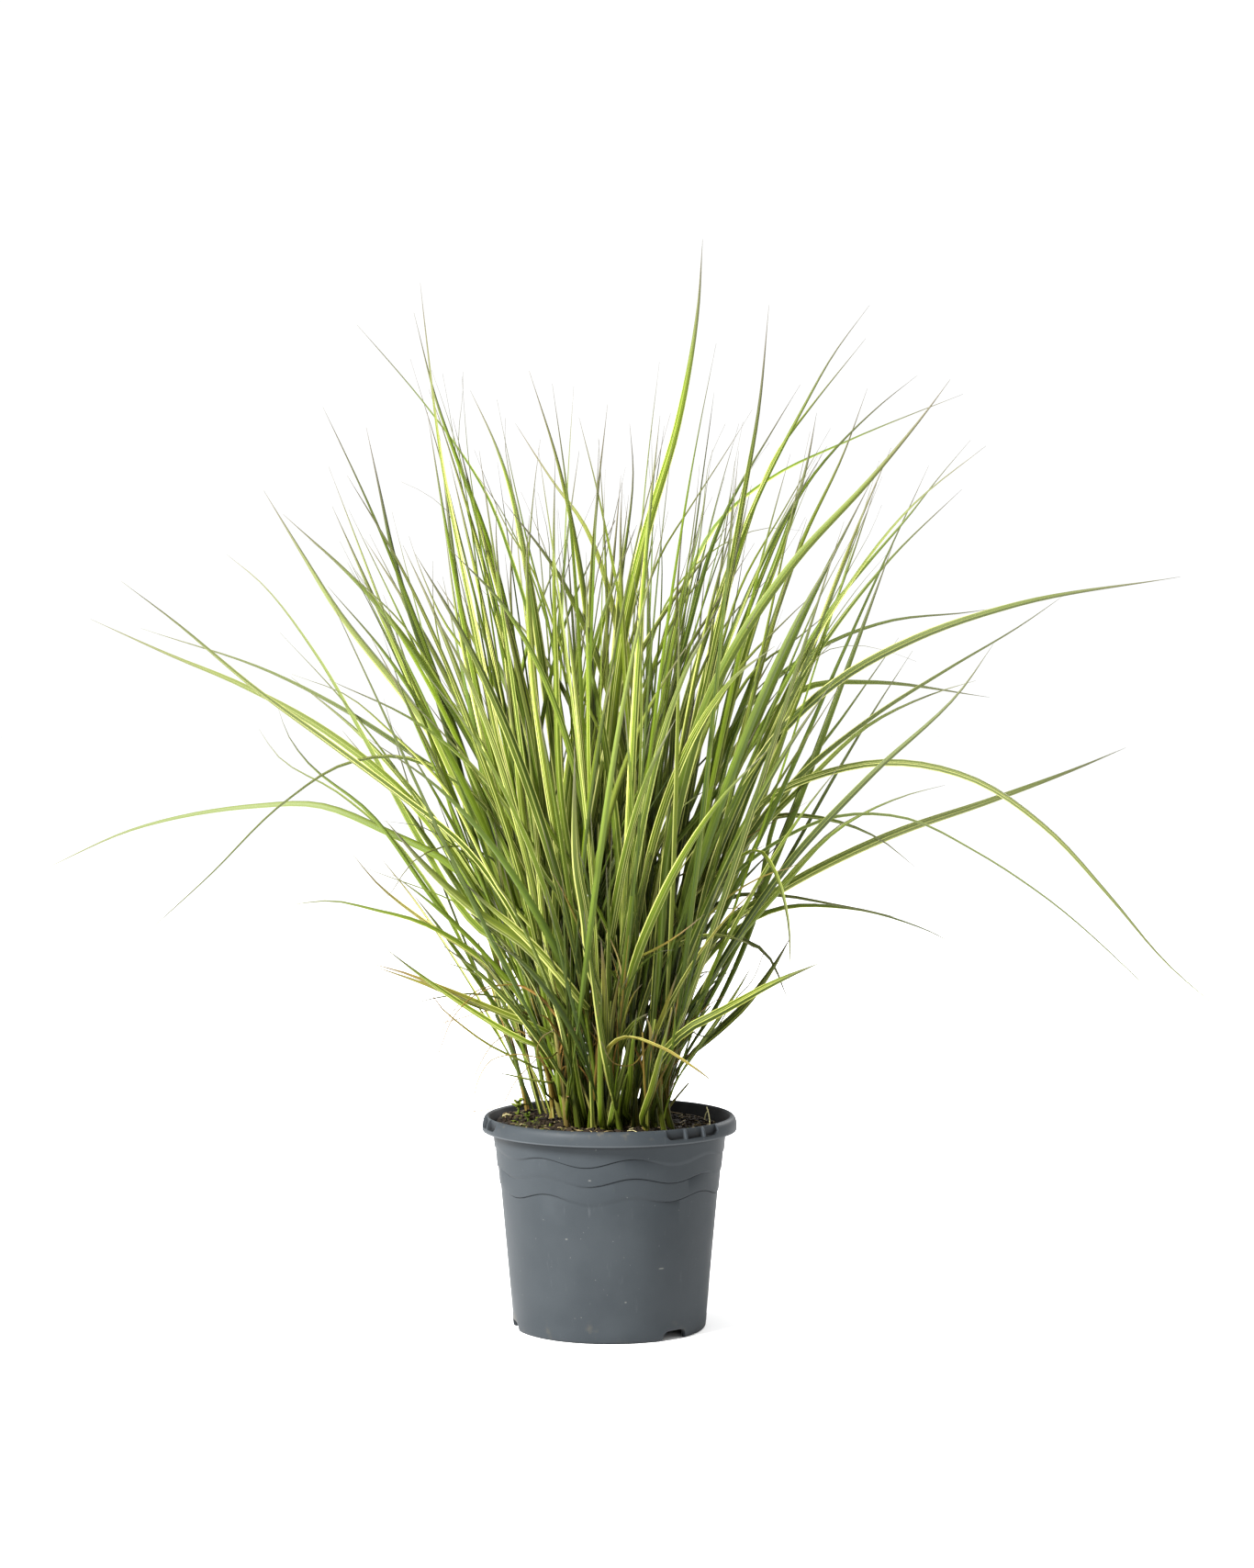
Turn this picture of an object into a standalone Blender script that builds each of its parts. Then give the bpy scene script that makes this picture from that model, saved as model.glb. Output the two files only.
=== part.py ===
"""Variegated reed grass, one clump growing in a round nursery pot.

Metres, +Z up. The origin is on the floor under the middle of the pot, and -Y is the front.
Pieces: the pot, the soil in it, a seedling, and the shoots of the clump. A shoot is one stem
with the leaf blades that grow from it, set in a socket of its own in the soil.
"""
import math
import random

import bmesh
import bpy
import numpy as np
from mathutils import Vector

MM = 0.001

# Pot
RIM_DIAMETER = 190 * MM
RIM_DEPTH = 11 * MM
POT_HEIGHT = 158 * MM
FOOT_RADIUS = 71.6 * MM
WALL_SLOPE = 0.0903
WALL = 1.6 * MM
FLOOR_HEIGHT = 6.0 * MM
PAD_RADIUS = 30 * MM
LEDGE_STEP = 0.7 * MM
LEDGE_HEIGHTS = (106 * MM, 120 * MM, 134 * MM)
LEDGE_RISE = 0.8 * MM
WAVE_HEIGHT = 2.6 * MM
WAVES = 8
POT_SIDES = 36
NOTCH_ANGLES = (42.0, 162.0, 282.0)
NOTCH_WIDTH = 22 * MM
NOTCH_HEIGHT = 6.8 * MM
DRAIN_RADIUS = 5.5 * MM
DRAIN_CIRCLE = 46 * MM
DRAINS = 6
POCKETS = 3
POCKET_PITCH = 10.8
POCKET_ARC = 9.8
POCKET_SHELF = 150.6 * MM
POCKET_RADIUS = 92.6 * MM

# Soil
GAP = 0.35 * MM
SOIL_TOP = 148.5 * MM
SOIL_SIDES = 24
SOIL_UNEVEN = 1.4 * MM
SOCKET_DEPTH = 14 * MM
SOCKET_CLEARANCE = 0.45 * MM

# Shoots
STEM_SIDES = 5
STEM_RADIUS = 2.3 * MM
STEM_TIP_RADIUS = 1.3 * MM
STEM_IN_SOIL = 12 * MM
LEAF_THICKNESS = 1.0 * MM
SEGMENT_LENGTH = 80 * MM
FEWEST_SEGMENTS = 4
MOST_SEGMENTS = 8
BEAD = 4 * MM
CLEARANCE = 0.75 * MM
DETOUR = 16 * MM
TRIES = 160

# Clump
CLUMP_CENTRE = Vector((-4 * MM, 0))
CLUMP_RADIUS = 50 * MM
GROWN_SHOOTS = 20
FOOT_SPACING = 8.5 * MM
SEED = 29

# Leaves that give the clump its outline are drawn on its front view, in the columns and rows
# of a 1366 x 1708 picture, and then carried to their depth along the line of sight.
SHEET_AXIS = 664
SHEET_FLOOR = 1447
SHEET_STEP = RIM_DIAMETER / 279
EYE = Vector((0.013, -2.56, 0.521))

# name: foot (x, y) in mm, stem as drawn, leaves as (share of the stem, width in mm, path as drawn)
DRAWN_SHOOTS = {
    "a": ((-60, 42), [(556, 1141), (540, 1105)], [
        (1.0, 4.6, [(520, 1064), (470, 971), (435, 923), (368, 863), (301, 821), (282, 793)]),
        (0.7, 4.0, [(541, 1060), (480, 990), (398, 880), (335, 829), (314, 800), (303, 770)])]),
    "b": ((-50, 30), [(577, 1170), (549, 1074)], [
        (1.0, 7.0, [(531, 997), (503, 850), (478, 758), (431, 610), (415, 535), (400, 465)]),
        (0.6, 5.6, [(536, 1060), (470, 1010), (423, 974), (411, 963), (384, 930)])]),
    "c": ((-43, 4), [(600, 1190), (588, 1115)], [
        (1.0, 7.2, [(545, 1000), (486, 936), (423, 904), (346, 874), (279, 875), (145, 901), (48, 945)]),
        (0.8, 6.4, [(560, 1075), (520, 1038), (454, 1001), (407, 989), (362, 980), (314, 985)])]),
    "d": ((-32, -9), [(604, 1150), (592, 1085)], [
        (1.0, 6.6, [(575, 950), (537, 787), (516, 682), (495, 577), (482, 509), (465, 366), (459, 309)]),
        (0.7, 6.8, [(560, 1040), (520, 974), (454, 879), (356, 796), (259, 743), (187, 713), (99, 673)])]),
    "e": ((-31, -27), [(612, 1180), (604, 1120)], [
        (1.0, 6.2, [(550, 985), (502, 920), (439, 869), (360, 810), (280, 751), (187, 673), (133, 632)]),
        (0.8, 7.2, [(577, 1110), (520, 1093), (464, 1071), (405, 1052)])]),
    "f": ((-25, 19), [(618, 1180), (609, 1095)], [
        (1.0, 8.4, [(590, 1050), (540, 910), (503, 846), (452, 770), (364, 657), (330, 602), (288, 533)]),
        (0.8, 7.0, [(560, 940), (520, 872), (432, 824), (375, 832), (311, 872), (225, 955), (155, 1018)])]),
    "g": ((-19, -6), [(628, 1180), (618, 1090)], [
        (1.0, 5.8, [(590, 880), (560, 700), (528, 577), (499, 501), (478, 442), (452, 341)]),
        (0.7, 6.8, [(600, 1060), (520, 1012), (458, 920), (398, 808), (343, 711), (284, 633), (248, 603)])]),
    "h": ((-14, 29), [(632, 1170), (625, 1050)], [
        (1.0, 6.6, [(600, 780), (560, 620), (532, 543), (465, 442), (427, 396), (390, 354)]),
        (0.8, 5.4, [(560, 940), (503, 859), (452, 823), (377, 774), (301, 734), (154, 683)])]),
    "i": ((-12, -29), [(644, 1180), (640, 1090)], [
        (1.0, 7.6, [(610, 860), (572, 602), (558, 535), (541, 484), (513, 425)]),
        (0.7, 8.6, [(616, 1091), (577, 1036), (520, 995), (470, 950), (420, 893)])]),
    "j": ((-4, 6), [(652, 1170), (650, 1060)], [
        (1.0, 6.2, [(648, 800), (640, 670), (626, 581), (608, 502), (577, 404)]),
        (0.8, 5.4, [(645, 800), (645, 634), (651, 545), (662, 440)])]),
    "k": ((1, -16), [(662, 1180), (660, 1080)], [
        (1.0, 9.2, [(655, 950), (665, 800), (680, 680), (703, 580), (737, 464), (759, 343), (765, 262)]),
        (0.5, 4.2, [(647, 1073), (662, 1044), (691, 1063)])]),
    "l": ((5, 26), [(668, 1160), (670, 1060)], [
        (1.0, 5.6, [(668, 800), (676, 643), (690, 509), (686, 461)]),
        (0.8, 8.0, [(680, 800), (670, 679), (635, 570), (602, 524), (562, 461)])]),
    "m": ((9, -32), [(668, 1200), (667, 1130)], [
        (1.0, 8.8, [(645, 1062), (639, 1003), (629, 940), (626, 812)]),
        (0.35, 5.0, [(660, 1150), (679, 1131), (717, 1141), (753, 1162), (780, 1181)])]),
    "n": ((12, -4), [(682, 1170), (690, 1070)], [
        (1.0, 6.8, [(695, 850), (680, 690), (663, 595), (649, 527), (631, 454)]),
        (0.8, 5.4, [(705, 880), (745, 700), (789, 559), (841, 468), (871, 419)])]),
    "o": ((18, 20), [(690, 1160), (700, 1060)], [
        (1.0, 5.6, [(725, 850), (775, 670), (828, 533), (875, 442), (905, 389), (946, 333)]),
        (0.8, 7.2, [(715, 850), (740, 650), (780, 568), (837, 520), (923, 479), (1048, 429)])]),
    "p": ((20, -20), [(692, 1190), (700, 1115)], [
        (1.0, 6.6, [(745, 860), (790, 650), (811, 533), (826, 447), (837, 333)]),
        (0.6, 5.6, [(702, 1090), (727, 1042), (771, 1019), (830, 1033), (862, 1095)])]),
    "q": ((27, 4), [(700, 1170), (715, 1075)], [
        (1.0, 6.0, [(745, 850), (800, 620), (849, 490), (884, 442), (942, 369)]),
        (0.8, 5.6, [(750, 860), (810, 680), (884, 520), (957, 442), (998, 409)])]),
    "r": ((28, -31), [(705, 1190), (714, 1110)], [
        (1.0, 8.8, [(730, 920), (775, 755), (862, 615), (949, 520), (1009, 447), (1034, 413)]),
        (0.4, 7.2, [(748, 1122), (780, 1105), (840, 1072), (895, 1048)])]),
    "s": ((32, 25), [(708, 1160), (723, 1080)], [
        (1.0, 5.2, [(765, 880), (820, 740), (875, 585), (918, 494), (944, 423)]),
        (0.8, 5.0, [(775, 900), (820, 765), (884, 710), (966, 676), (1052, 666), (1086, 661)])]),
    "t": ((35, -11), [(712, 1180), (727, 1100)], [
        (1.0, 9.4, [(755, 950), (810, 820), (880, 662), (949, 522)]),
        (0.8, 8.4, [(765, 900), (816, 688), (851, 593), (878, 506), (889, 449)])]),
    "u": ((38, 11), [(716, 1170), (734, 1095)], [
        (1.0, 6.4, [(760, 980), (820, 830), (906, 662), (992, 550), (1073, 485)]),
        (0.8, 7.6, [(775, 900), (830, 790), (880, 746), (949, 741), (1078, 758)]),
        (0.6, 5.0, [(790, 950), (825, 925), (845, 950), (860, 1008), (860, 1075)])]),
    "v": ((41, -24), [(718, 1190), (737, 1110)], [
        (1.0, 7.8, [(790, 910), (841, 809), (914, 740), (1000, 693), (1104, 658), (1285, 627)]),
        (0.8, 5.2, [(780, 975), (840, 922), (914, 889), (988, 891), (1062, 926), (1136, 974), (1282, 1103)])]),
    "w": ((45, 0), [(722, 1170), (741, 1100)], [
        (1.0, 6.2, [(790, 930), (870, 740), (970, 606), (1047, 532)]),
        (0.8, 6.4, [(790, 930), (840, 865), (895, 841), (969, 828), (1062, 847), (1141, 900),
                    (1210, 974), (1273, 1048), (1345, 1111)]),
        (0.6, 5.8, [(780, 1030), (840, 990), (925, 987), (1003, 1009), (1043, 1029)])]),
    "x": ((41, 29), [(718, 1160), (739, 1090)], [
        (1.0, 8.0, [(780, 980), (850, 870), (949, 783), (1035, 727), (1112, 680), (1156, 649)]),
        (0.8, 5.6, [(780, 930), (840, 889), (888, 889), (962, 915), (997, 943)]),
        (0.6, 5.4, [(790, 950), (880, 850), (949, 787), (1026, 751), (1063, 740)])]),
    "y": ((47, -15), [(724, 1180), (745, 1115)], [
        (1.0, 7.8, [(790, 1010), (858, 965), (969, 910), (1080, 871), (1173, 836), (1227, 813)]),
        (0.8, 6.0, [(794, 1036), (860, 940), (949, 843), (1048, 749), (1082, 700)]),
        (0.6, 4.4, [(800, 1030), (850, 970), (914, 902), (988, 865), (1030, 854)])]),
    "z": ((40, 43), [(728, 1190), (740, 1163)], [
        (1.0, 7.0, [(780, 1124), (813, 1093), (846, 1048), (862, 1020)]),
        (0.7, 5.2, [(785, 1090), (820, 1010), (850, 880), (923, 774), (979, 693)])]),
}


def material(name, colour, roughness):
    made = bpy.data.materials.new(name)
    made.use_nodes = True
    shader = made.node_tree.nodes["Principled BSDF"]
    shader.inputs["Base Color"].default_value = (*colour, 1)
    shader.inputs["Roughness"].default_value = roughness
    shader.inputs["Metallic"].default_value = 0
    return made


def new_object(name, mesh, home, finish=None):
    made = bpy.data.objects.new(name, mesh)
    home.objects.link(made)
    if finish:
        mesh.materials.append(finish)
    return made


def helper(made):
    """A cutter or a leaf that is joined to its stem: it is no piece of its own."""
    made.hide_render = True
    made.display_type = "WIRE"
    return made


def loft(name, rings):
    """A closed mesh through rings of equally many points; a ring of one point is a tip."""
    shape = bmesh.new()
    made = [[shape.verts.new(point) for point in ring] for ring in rings]
    for low, high in zip(made, made[1:]):
        count = max(len(low), len(high))
        for i in range(count):
            j = (i + 1) % count
            corners = [low[i % len(low)], low[j % len(low)], high[j % len(high)], high[i % len(high)]]
            shape.faces.new(list(dict.fromkeys(corners)))
    for end in (made[0], made[-1]):
        if len(end) > 2:
            shape.faces.new(end)
    bmesh.ops.recalc_face_normals(shape, faces=shape.faces)
    mesh = bpy.data.meshes.new(name)
    shape.to_mesh(mesh)
    shape.free()
    return mesh


def smooth_path(points, segments=None):
    """The points cut at equal lengths from a smooth curve through the given ones."""
    span = [(b - a).length for a, b in zip(points, points[1:])]
    slopes = [(points[1] - points[0]) / span[0]]
    for i in range(1, len(points) - 1):
        before, after = (points[i] - points[i - 1]) / span[i - 1], (points[i + 1] - points[i]) / span[i]
        slopes.append((before * span[i] + after * span[i - 1]) / (span[i - 1] + span[i]))
    slopes.append((points[-1] - points[-2]) / span[-1])
    fine = []
    for i, length in enumerate(span):
        steps = max(4, round(length / (6 * MM)))
        for k in range(steps):
            t = k / steps
            fine.append(points[i] * (2 * t**3 - 3 * t**2 + 1) + points[i + 1] * (3 * t**2 - 2 * t**3)
                        + slopes[i] * (length * (t**3 - 2 * t**2 + t))
                        + slopes[i + 1] * (length * (t**3 - t**2)))
    fine.append(points[-1])
    rows = np.array(fine)
    along = np.concatenate([[0], np.cumsum(np.linalg.norm(np.diff(rows, axis=0), axis=1))])
    if not segments:
        segments = min(MOST_SEGMENTS, max(FEWEST_SEGMENTS, round(along[-1] / SEGMENT_LENGTH)))
    wanted = np.linspace(0, along[-1], segments + 1)
    return [Vector([np.interp(s, along, rows[:, axis]) for axis in range(3)]) for s in wanted]


def on_sheet(column, row, depth):
    """The point at that depth which the front view shows at that column and row."""
    flat = Vector(((column - SHEET_AXIS) * SHEET_STEP, 0, (SHEET_FLOOR - row) * SHEET_STEP))
    return EYE + (flat - EYE) * ((depth - EYE.y) / -EYE.y)


def point_along(path, share):
    place = share * (len(path) - 1)
    i = min(int(place), len(path) - 2)
    return path[i].lerp(path[i + 1], place - i)


def leaf_half_width(width, share):
    """Narrow where it leaves the stem, widest at a third, then drawn out to a fine point."""
    opening = min(1, 0.35 + 0.65 * share / 0.12)
    taper = 1 if share < 0.35 else 1 - ((share - 0.35) / 0.65) ** 1.7
    return 0.5 * width * opening * taper


# The clump as numbers: stems and leaves as paths that keep clear of each other

class Thicket:
    """Beads along every path laid so far, so that a new one can be kept clear of them."""

    def __init__(self):
        self.places = np.zeros((0, 3))
        self.reach = np.zeros(0)
        self.owner = np.zeros(0, int)

    @staticmethod
    def beads(path, half_widths):
        rows, reach = np.array(path), np.array(half_widths)
        along = np.concatenate([[0], np.cumsum(np.linalg.norm(np.diff(rows, axis=0), axis=1))])
        at = np.linspace(0, along[-1], max(2, int(along[-1] / BEAD) + 1))
        places = np.stack([np.interp(at, along, rows[:, axis]) for axis in range(3)], axis=1)
        return places, np.interp(at, along, reach)

    def gap(self, path, half_widths, owner):
        others = self.owner != owner
        if not others.any():
            return 1.0
        places, reach = self.beads(path, half_widths)
        theirs = self.places[others]
        square = ((places**2).sum(1)[:, None] + (theirs**2).sum(1)[None, :] - 2 * places @ theirs.T)
        apart = np.sqrt(np.maximum(square, 0)) - reach[:, None] - self.reach[others][None, :]
        return float(apart.min())

    def add(self, path, half_widths, owner):
        places, reach = self.beads(path, half_widths)
        self.places = np.concatenate([self.places, places])
        self.reach = np.concatenate([self.reach, reach])
        self.owner = np.concatenate([self.owner, np.full(len(places), owner)])


def half_widths_of(path, width):
    return [leaf_half_width(width, i / (len(path) - 1)) for i in range(len(path))]


def drawn_leaf(stem, share, drawn, depths):
    """Leaves the stem along its own line, then follows the drawn path, at a depth that ends
    changed by the first of depths, grows by the power of the second, and starts with a detour of
    the third."""
    change, power, detour = depths
    start = point_along(stem, share)
    points = [point_along(stem, share - 0.12), start]
    for i, (column, row) in enumerate(drawn, start=1):
        part = i / len(drawn)
        depth = start.y + change * part**power + detour * math.sin(math.pi * min(1, 2 * part))
        points.append(on_sheet(column, row, depth))
    return smooth_path(points)


def grown_leaf(stem, share, length, side, lean, droop):
    """Leaves the stem towards side (an angle round it), leaning and then bending over."""
    start = point_along(stem, share)
    below = point_along(stem, share - 0.12)
    along = (start - below).normalized()
    outward = Vector((math.cos(side), math.sin(side), 0))
    points = [below, start]
    steps = 5
    for i in range(steps):
        t = (i + 1) / steps
        tilt = lean * min(1, 2.5 * t) + droop * t**1.6
        heading = (along * math.cos(tilt) + outward * math.sin(tilt)).normalized()
        points.append(points[-1] + heading * (length / steps))
    return smooth_path(points)


def drawn_clump(thicket):
    shoots = []
    dice = random.Random(SEED)
    stems = {}
    for owner, (name, (foot, stem_drawn, _)) in enumerate(DRAWN_SHOOTS.items()):
        ground = Vector((foot[0] * MM, foot[1] * MM, SOIL_TOP))
        fan = [on_sheet(column, row, ground.y * (1.15 + 0.25 * i))
               for i, (column, row) in enumerate(stem_drawn)]
        stems[name] = stem_path(ground, fan)
        thicket.add(stems[name], stem_reach(stems[name]), owner)
    for owner, (name, (_, _, leaves)) in enumerate(DRAWN_SHOOTS.items()):
        stem = stems[name]
        laid = []
        for share, width, drawn in leaves:
            best = None
            sideways = abs(drawn[-1][0] - SHEET_AXIS) * SHEET_STEP
            deepest = 200 * MM - 0.2 * sideways
            for _ in range(TRIES):
                change = dice.uniform(-1, 1) * deepest
                detour = dice.uniform(-1, 1) * DETOUR
                path = drawn_leaf(stem, share, drawn, (change, dice.uniform(0.7, 1.9), detour))
                gap = thicket.gap(path, half_widths_of(path, width * MM), owner)
                if best is None or gap > best[0]:
                    best = (gap, path)
                if gap > CLEARANCE:
                    break
            gap, path = best
            if gap < CLEARANCE:
                print(f"shoot {name}: the leaf from {share} passes within {gap / MM:.2f} mm")
            thicket.add(path, half_widths_of(path, width * MM), owner)
            laid.append((width * MM, path))
        shoots.append((stem, laid))
    return shoots


def stem_path(ground, above):
    """From inside the soil, straight up through it, then smoothly on through the given points."""
    rise = (above[0] - ground).normalized()
    return smooth_path([ground - rise * STEM_IN_SOIL, ground, *above], 3)


def stem_reach(path):
    return [STEM_RADIUS + (STEM_TIP_RADIUS - STEM_RADIUS) * i / (len(path) - 1) for i in range(len(path))]


def grown_clump(thicket, feet):
    """Fills the clump on all sides with shoots that fan out from feet spread over the soil."""
    dice = random.Random(SEED + 1)
    shoots = []
    candidate = 0
    while len(shoots) < GROWN_SHOOTS:
        candidate += 1
        radius = CLUMP_RADIUS * math.sqrt((candidate % 90 + 0.5) / 90)
        turn = candidate * 2.39996 + 0.3 * (candidate // 90)
        foot = CLUMP_CENTRE + Vector((math.cos(turn), math.sin(turn))) * radius
        if any((foot - other).length < FOOT_SPACING for other in feet):
            continue
        ground = Vector((foot.x, foot.y, SOIL_TOP))
        owner = 100 + len(shoots)
        lean = math.radians(3 + 17 * radius / CLUMP_RADIUS)
        made = grown_shoot(thicket, dice, ground, turn, lean, owner)
        if made:
            feet.append(foot)
            shoots.append(made)
        if candidate > 900:
            raise RuntimeError("no room is left in the clump for another shoot")
    return shoots


def grown_shoot(thicket, dice, ground, turn, lean, owner):
    for _ in range(TRIES // 3):
        facing = turn + dice.gauss(0, 0.3)
        tilt = lean * dice.uniform(0.7, 1.3)
        heading = Vector((math.cos(facing) * math.sin(tilt), math.sin(facing) * math.sin(tilt), math.cos(tilt)))
        height = dice.uniform(85, 150) * MM
        stem = stem_path(ground, [ground + heading * height * 0.5, ground + heading * height])
        if thicket.gap(stem, stem_reach(stem), owner) > CLEARANCE:
            break
    else:
        return None
    laid = []
    side = facing + dice.uniform(-0.6, 0.6)
    for share in (1.0, 0.78, 0.56):
        for _ in range(TRIES // 2):
            width = dice.uniform(5.2, 8.0) * MM
            length = dice.uniform(300, 430) * MM * (0.75 + 0.25 * share)
            bend = math.radians(dice.uniform(2, 10) + 14 * (1 - share))
            droop = math.radians(dice.uniform(4, 34) + 22 * abs(math.sin(side)))
            towards = side + dice.uniform(-0.7, 0.7)
            path = grown_leaf(stem, share, length, towards, bend, droop)
            if thicket.gap(path, half_widths_of(path, width), owner) > CLEARANCE:
                laid.append((width, path))
                break
        side += math.pi
    if not laid:
        return None
    thicket.add(stem, stem_reach(stem), owner)
    for width, path in laid:
        thicket.add(path, half_widths_of(path, width), owner)
    return stem, laid


# Solids

def tangents(path):
    ends = [path[0], *path, path[-1]]
    return [(b - a).normalized() for a, b in zip(ends, ends[2:])]


def acrosses(path):
    """A direction across the path at each of its points, which turns no more than the path does."""
    found = [Vector((0, 1, 0))]
    for along in tangents(path):
        side = found[-1] if len(found) > 1 else along.cross(found[0])
        found.append((side - along * side.dot(along)).normalized())
    return found[1:]


def round_rings(path, radii, sides):
    rings = []
    for point, radius, along, across in zip(path, radii, tangents(path), acrosses(path)):
        other = along.cross(across)
        rings.append([point + (across * math.cos(a) + other * math.sin(a)) * radius
                      for a in (2 * math.pi * k / sides for k in range(sides))])
    return rings


def leaf_rings(path, width, roll, twist):
    """A shallow keel of three corners at each point, its width turned by roll and then twist."""
    rings = []
    last = len(path) - 1
    for i, (point, along, flat) in enumerate(zip(path[:-1], tangents(path), acrosses(path))):
        share = i / last
        turn = roll + twist * share
        across = flat * math.cos(turn) + along.cross(flat) * math.sin(turn)
        half = leaf_half_width(width, share)
        keel = along.cross(across) * LEAF_THICKNESS * min(1, 0.4 + half / (2.5 * MM))
        rings.append([point - across * half, point + across * half, point + keel])
    rings.append([path[-1]])
    return rings


def build_shoot(number, stem, leaves, dice, home, helpers, finish):
    """One stem with its leaves joined to it."""
    name = f"shoot_{number:02d}"
    shoot = new_object(name, loft(name, round_rings(stem, stem_reach(stem), STEM_SIDES)), home, finish)
    for k, (width, path) in enumerate(leaves):
        roll, twist = dice.uniform(-0.7, 0.7), dice.uniform(-0.9, 0.9)
        blade = new_object(f"{name}_leaf_{k}", loft(name, leaf_rings(path, width, roll, twist)), helpers)
        helper(blade)
        join = shoot.modifiers.new(f"leaf {k}", "BOOLEAN")
        join.operation = "UNION"
        join.solver = "EXACT"
        join.object = blade
    graph = bpy.context.evaluated_depsgraph_get()
    joined = [vertex.co for vertex in shoot.evaluated_get(graph).data.vertices]
    for _, path in leaves:
        if min((corner - path[-1]).length for corner in joined) > 0.1 * MM:
            raise RuntimeError(f"{name} lost a leaf when its leaves were joined")
    return shoot


def wall_radius(height):
    """Outer radius of the pot's wall, which steps out at each ledge above its foot."""
    steps = sum(height > ledge for ledge in LEDGE_HEIGHTS)
    return FOOT_RADIUS + WALL_SLOPE * height + LEDGE_STEP * steps


def pot_profile():
    """From the middle of the floor, which stands on a pad, up the inside, over the rim, and down."""
    rim = RIM_DIAMETER / 2
    under = POT_HEIGHT - RIM_DEPTH
    profile = [(0, WALL), (PAD_RADIUS, WALL), (PAD_RADIUS + 3 * MM, FLOOR_HEIGHT + WALL),
               (wall_radius(FLOOR_HEIGHT) - 1.5 * WALL, FLOOR_HEIGHT + WALL),
               (wall_radius(under) - WALL, under), (rim - 5.2 * MM, POT_HEIGHT - 0.9 * MM),
               (rim - 4.3 * MM, POT_HEIGHT), (rim - 2.6 * MM, POT_HEIGHT - 0.5 * MM),
               (rim - 0.7 * MM, POT_HEIGHT - 3.4 * MM), (rim, POT_HEIGHT - 7.2 * MM), (rim, under + 0.6 * MM),
               (rim - 0.6 * MM, under), (wall_radius(under), under - 0.4 * MM)]
    for ledge in reversed(LEDGE_HEIGHTS):
        profile.append((wall_radius(ledge + LEDGE_RISE / 2), ledge + LEDGE_RISE / 2))
        profile.append((wall_radius(ledge - LEDGE_RISE / 2), ledge - LEDGE_RISE / 2))
    profile += [(wall_radius(2 * MM), 2 * MM), (wall_radius(0) - 1.0 * MM, 0),
                (wall_radius(0) - 3.0 * MM, 0), (wall_radius(0) - 3.0 * MM, FLOOR_HEIGHT),
                (PAD_RADIUS + 4.5 * MM, FLOOR_HEIGHT), (PAD_RADIUS + 1.5 * MM, 0), (0, 0)]
    return profile


def turned(name, profile, sides, home):
    """The profile at +X, turned once round the Z axis and kept as a plain mesh."""
    outline = bpy.data.meshes.new(name)
    outline.from_pydata([(x, 0, z) for x, z in profile], [(i, i + 1) for i in range(len(profile) - 1)], [])
    made = new_object(name, outline, home)
    screw = made.modifiers.new("turn", "SCREW")
    screw.steps = screw.render_steps = sides
    screw.use_merge_vertices = True
    screw.merge_threshold = 0.00001
    screw.use_normal_calculate = False
    graph = bpy.context.evaluated_depsgraph_get()
    made.data = bpy.data.meshes.new_from_object(made.evaluated_get(graph))
    made.modifiers.clear()
    return made


def ring_box(name, angle, arc, inner, outer, low, high, helpers, steps=3):
    """A block that follows the pot round, between two radii and two heights."""
    rings = []
    for k in range(steps + 1):
        turn = math.radians(angle - arc / 2 + arc * k / steps)
        out = Vector((math.sin(turn), -math.cos(turn), 0))
        rings.append([out * radius + Vector((0, 0, z))
                      for radius, z in ((inner, low), (outer, low), (outer, high), (inner, high))])
    return helper(new_object(name, loft(name, rings), helpers))


def cut(target, cutters):
    for cutter in cutters:
        step = target.modifiers.new(cutter.name, "BOOLEAN")
        step.operation = "DIFFERENCE"
        step.solver = "EXACT"
        step.object = cutter


def pot_cutters(helpers):
    cutters = []
    for n, angle in enumerate(NOTCH_ANGLES):
        arch = [(-NOTCH_WIDTH / 2, -2 * MM), (NOTCH_WIDTH / 2, -2 * MM), (NOTCH_WIDTH / 2, NOTCH_HEIGHT * 0.45),
                (NOTCH_WIDTH * 0.34, NOTCH_HEIGHT), (-NOTCH_WIDTH * 0.34, NOTCH_HEIGHT),
                (-NOTCH_WIDTH / 2, NOTCH_HEIGHT * 0.45)]
        turn = math.radians(angle)
        out, across = Vector((math.sin(turn), -math.cos(turn), 0)), Vector((math.cos(turn), math.sin(turn), 0))
        rings = [[out * reach + across * x + Vector((0, 0, z)) for x, z in arch]
                 for reach in (FOOT_RADIUS - 9 * MM, FOOT_RADIUS + 6 * MM)]
        cutters.append(helper(new_object(f"notch_{n}", loft("notch", rings), helpers)))
        for k in range(POCKETS):
            middle = angle + (k - (POCKETS - 1) / 2) * POCKET_PITCH
            cutters.append(ring_box(f"pocket_{n}_{k}", middle, POCKET_ARC, POCKET_RADIUS,
                                    RIM_DIAMETER, POCKET_SHELF, POT_HEIGHT + 4 * MM, helpers))
    for n in range(DRAINS):
        turn = 2 * math.pi * (n + 0.5) / DRAINS
        bpy.ops.mesh.primitive_cylinder_add(
            vertices=8, radius=DRAIN_RADIUS, depth=12 * MM,
            location=(math.cos(turn) * DRAIN_CIRCLE, math.sin(turn) * DRAIN_CIRCLE, FLOOR_HEIGHT))
        drain = bpy.context.object
        drain.name = f"drain_{n}"
        for home in drain.users_collection:
            home.objects.unlink(drain)
        helpers.objects.link(drain)
        cutters.append(helper(drain))
    return cutters


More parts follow.
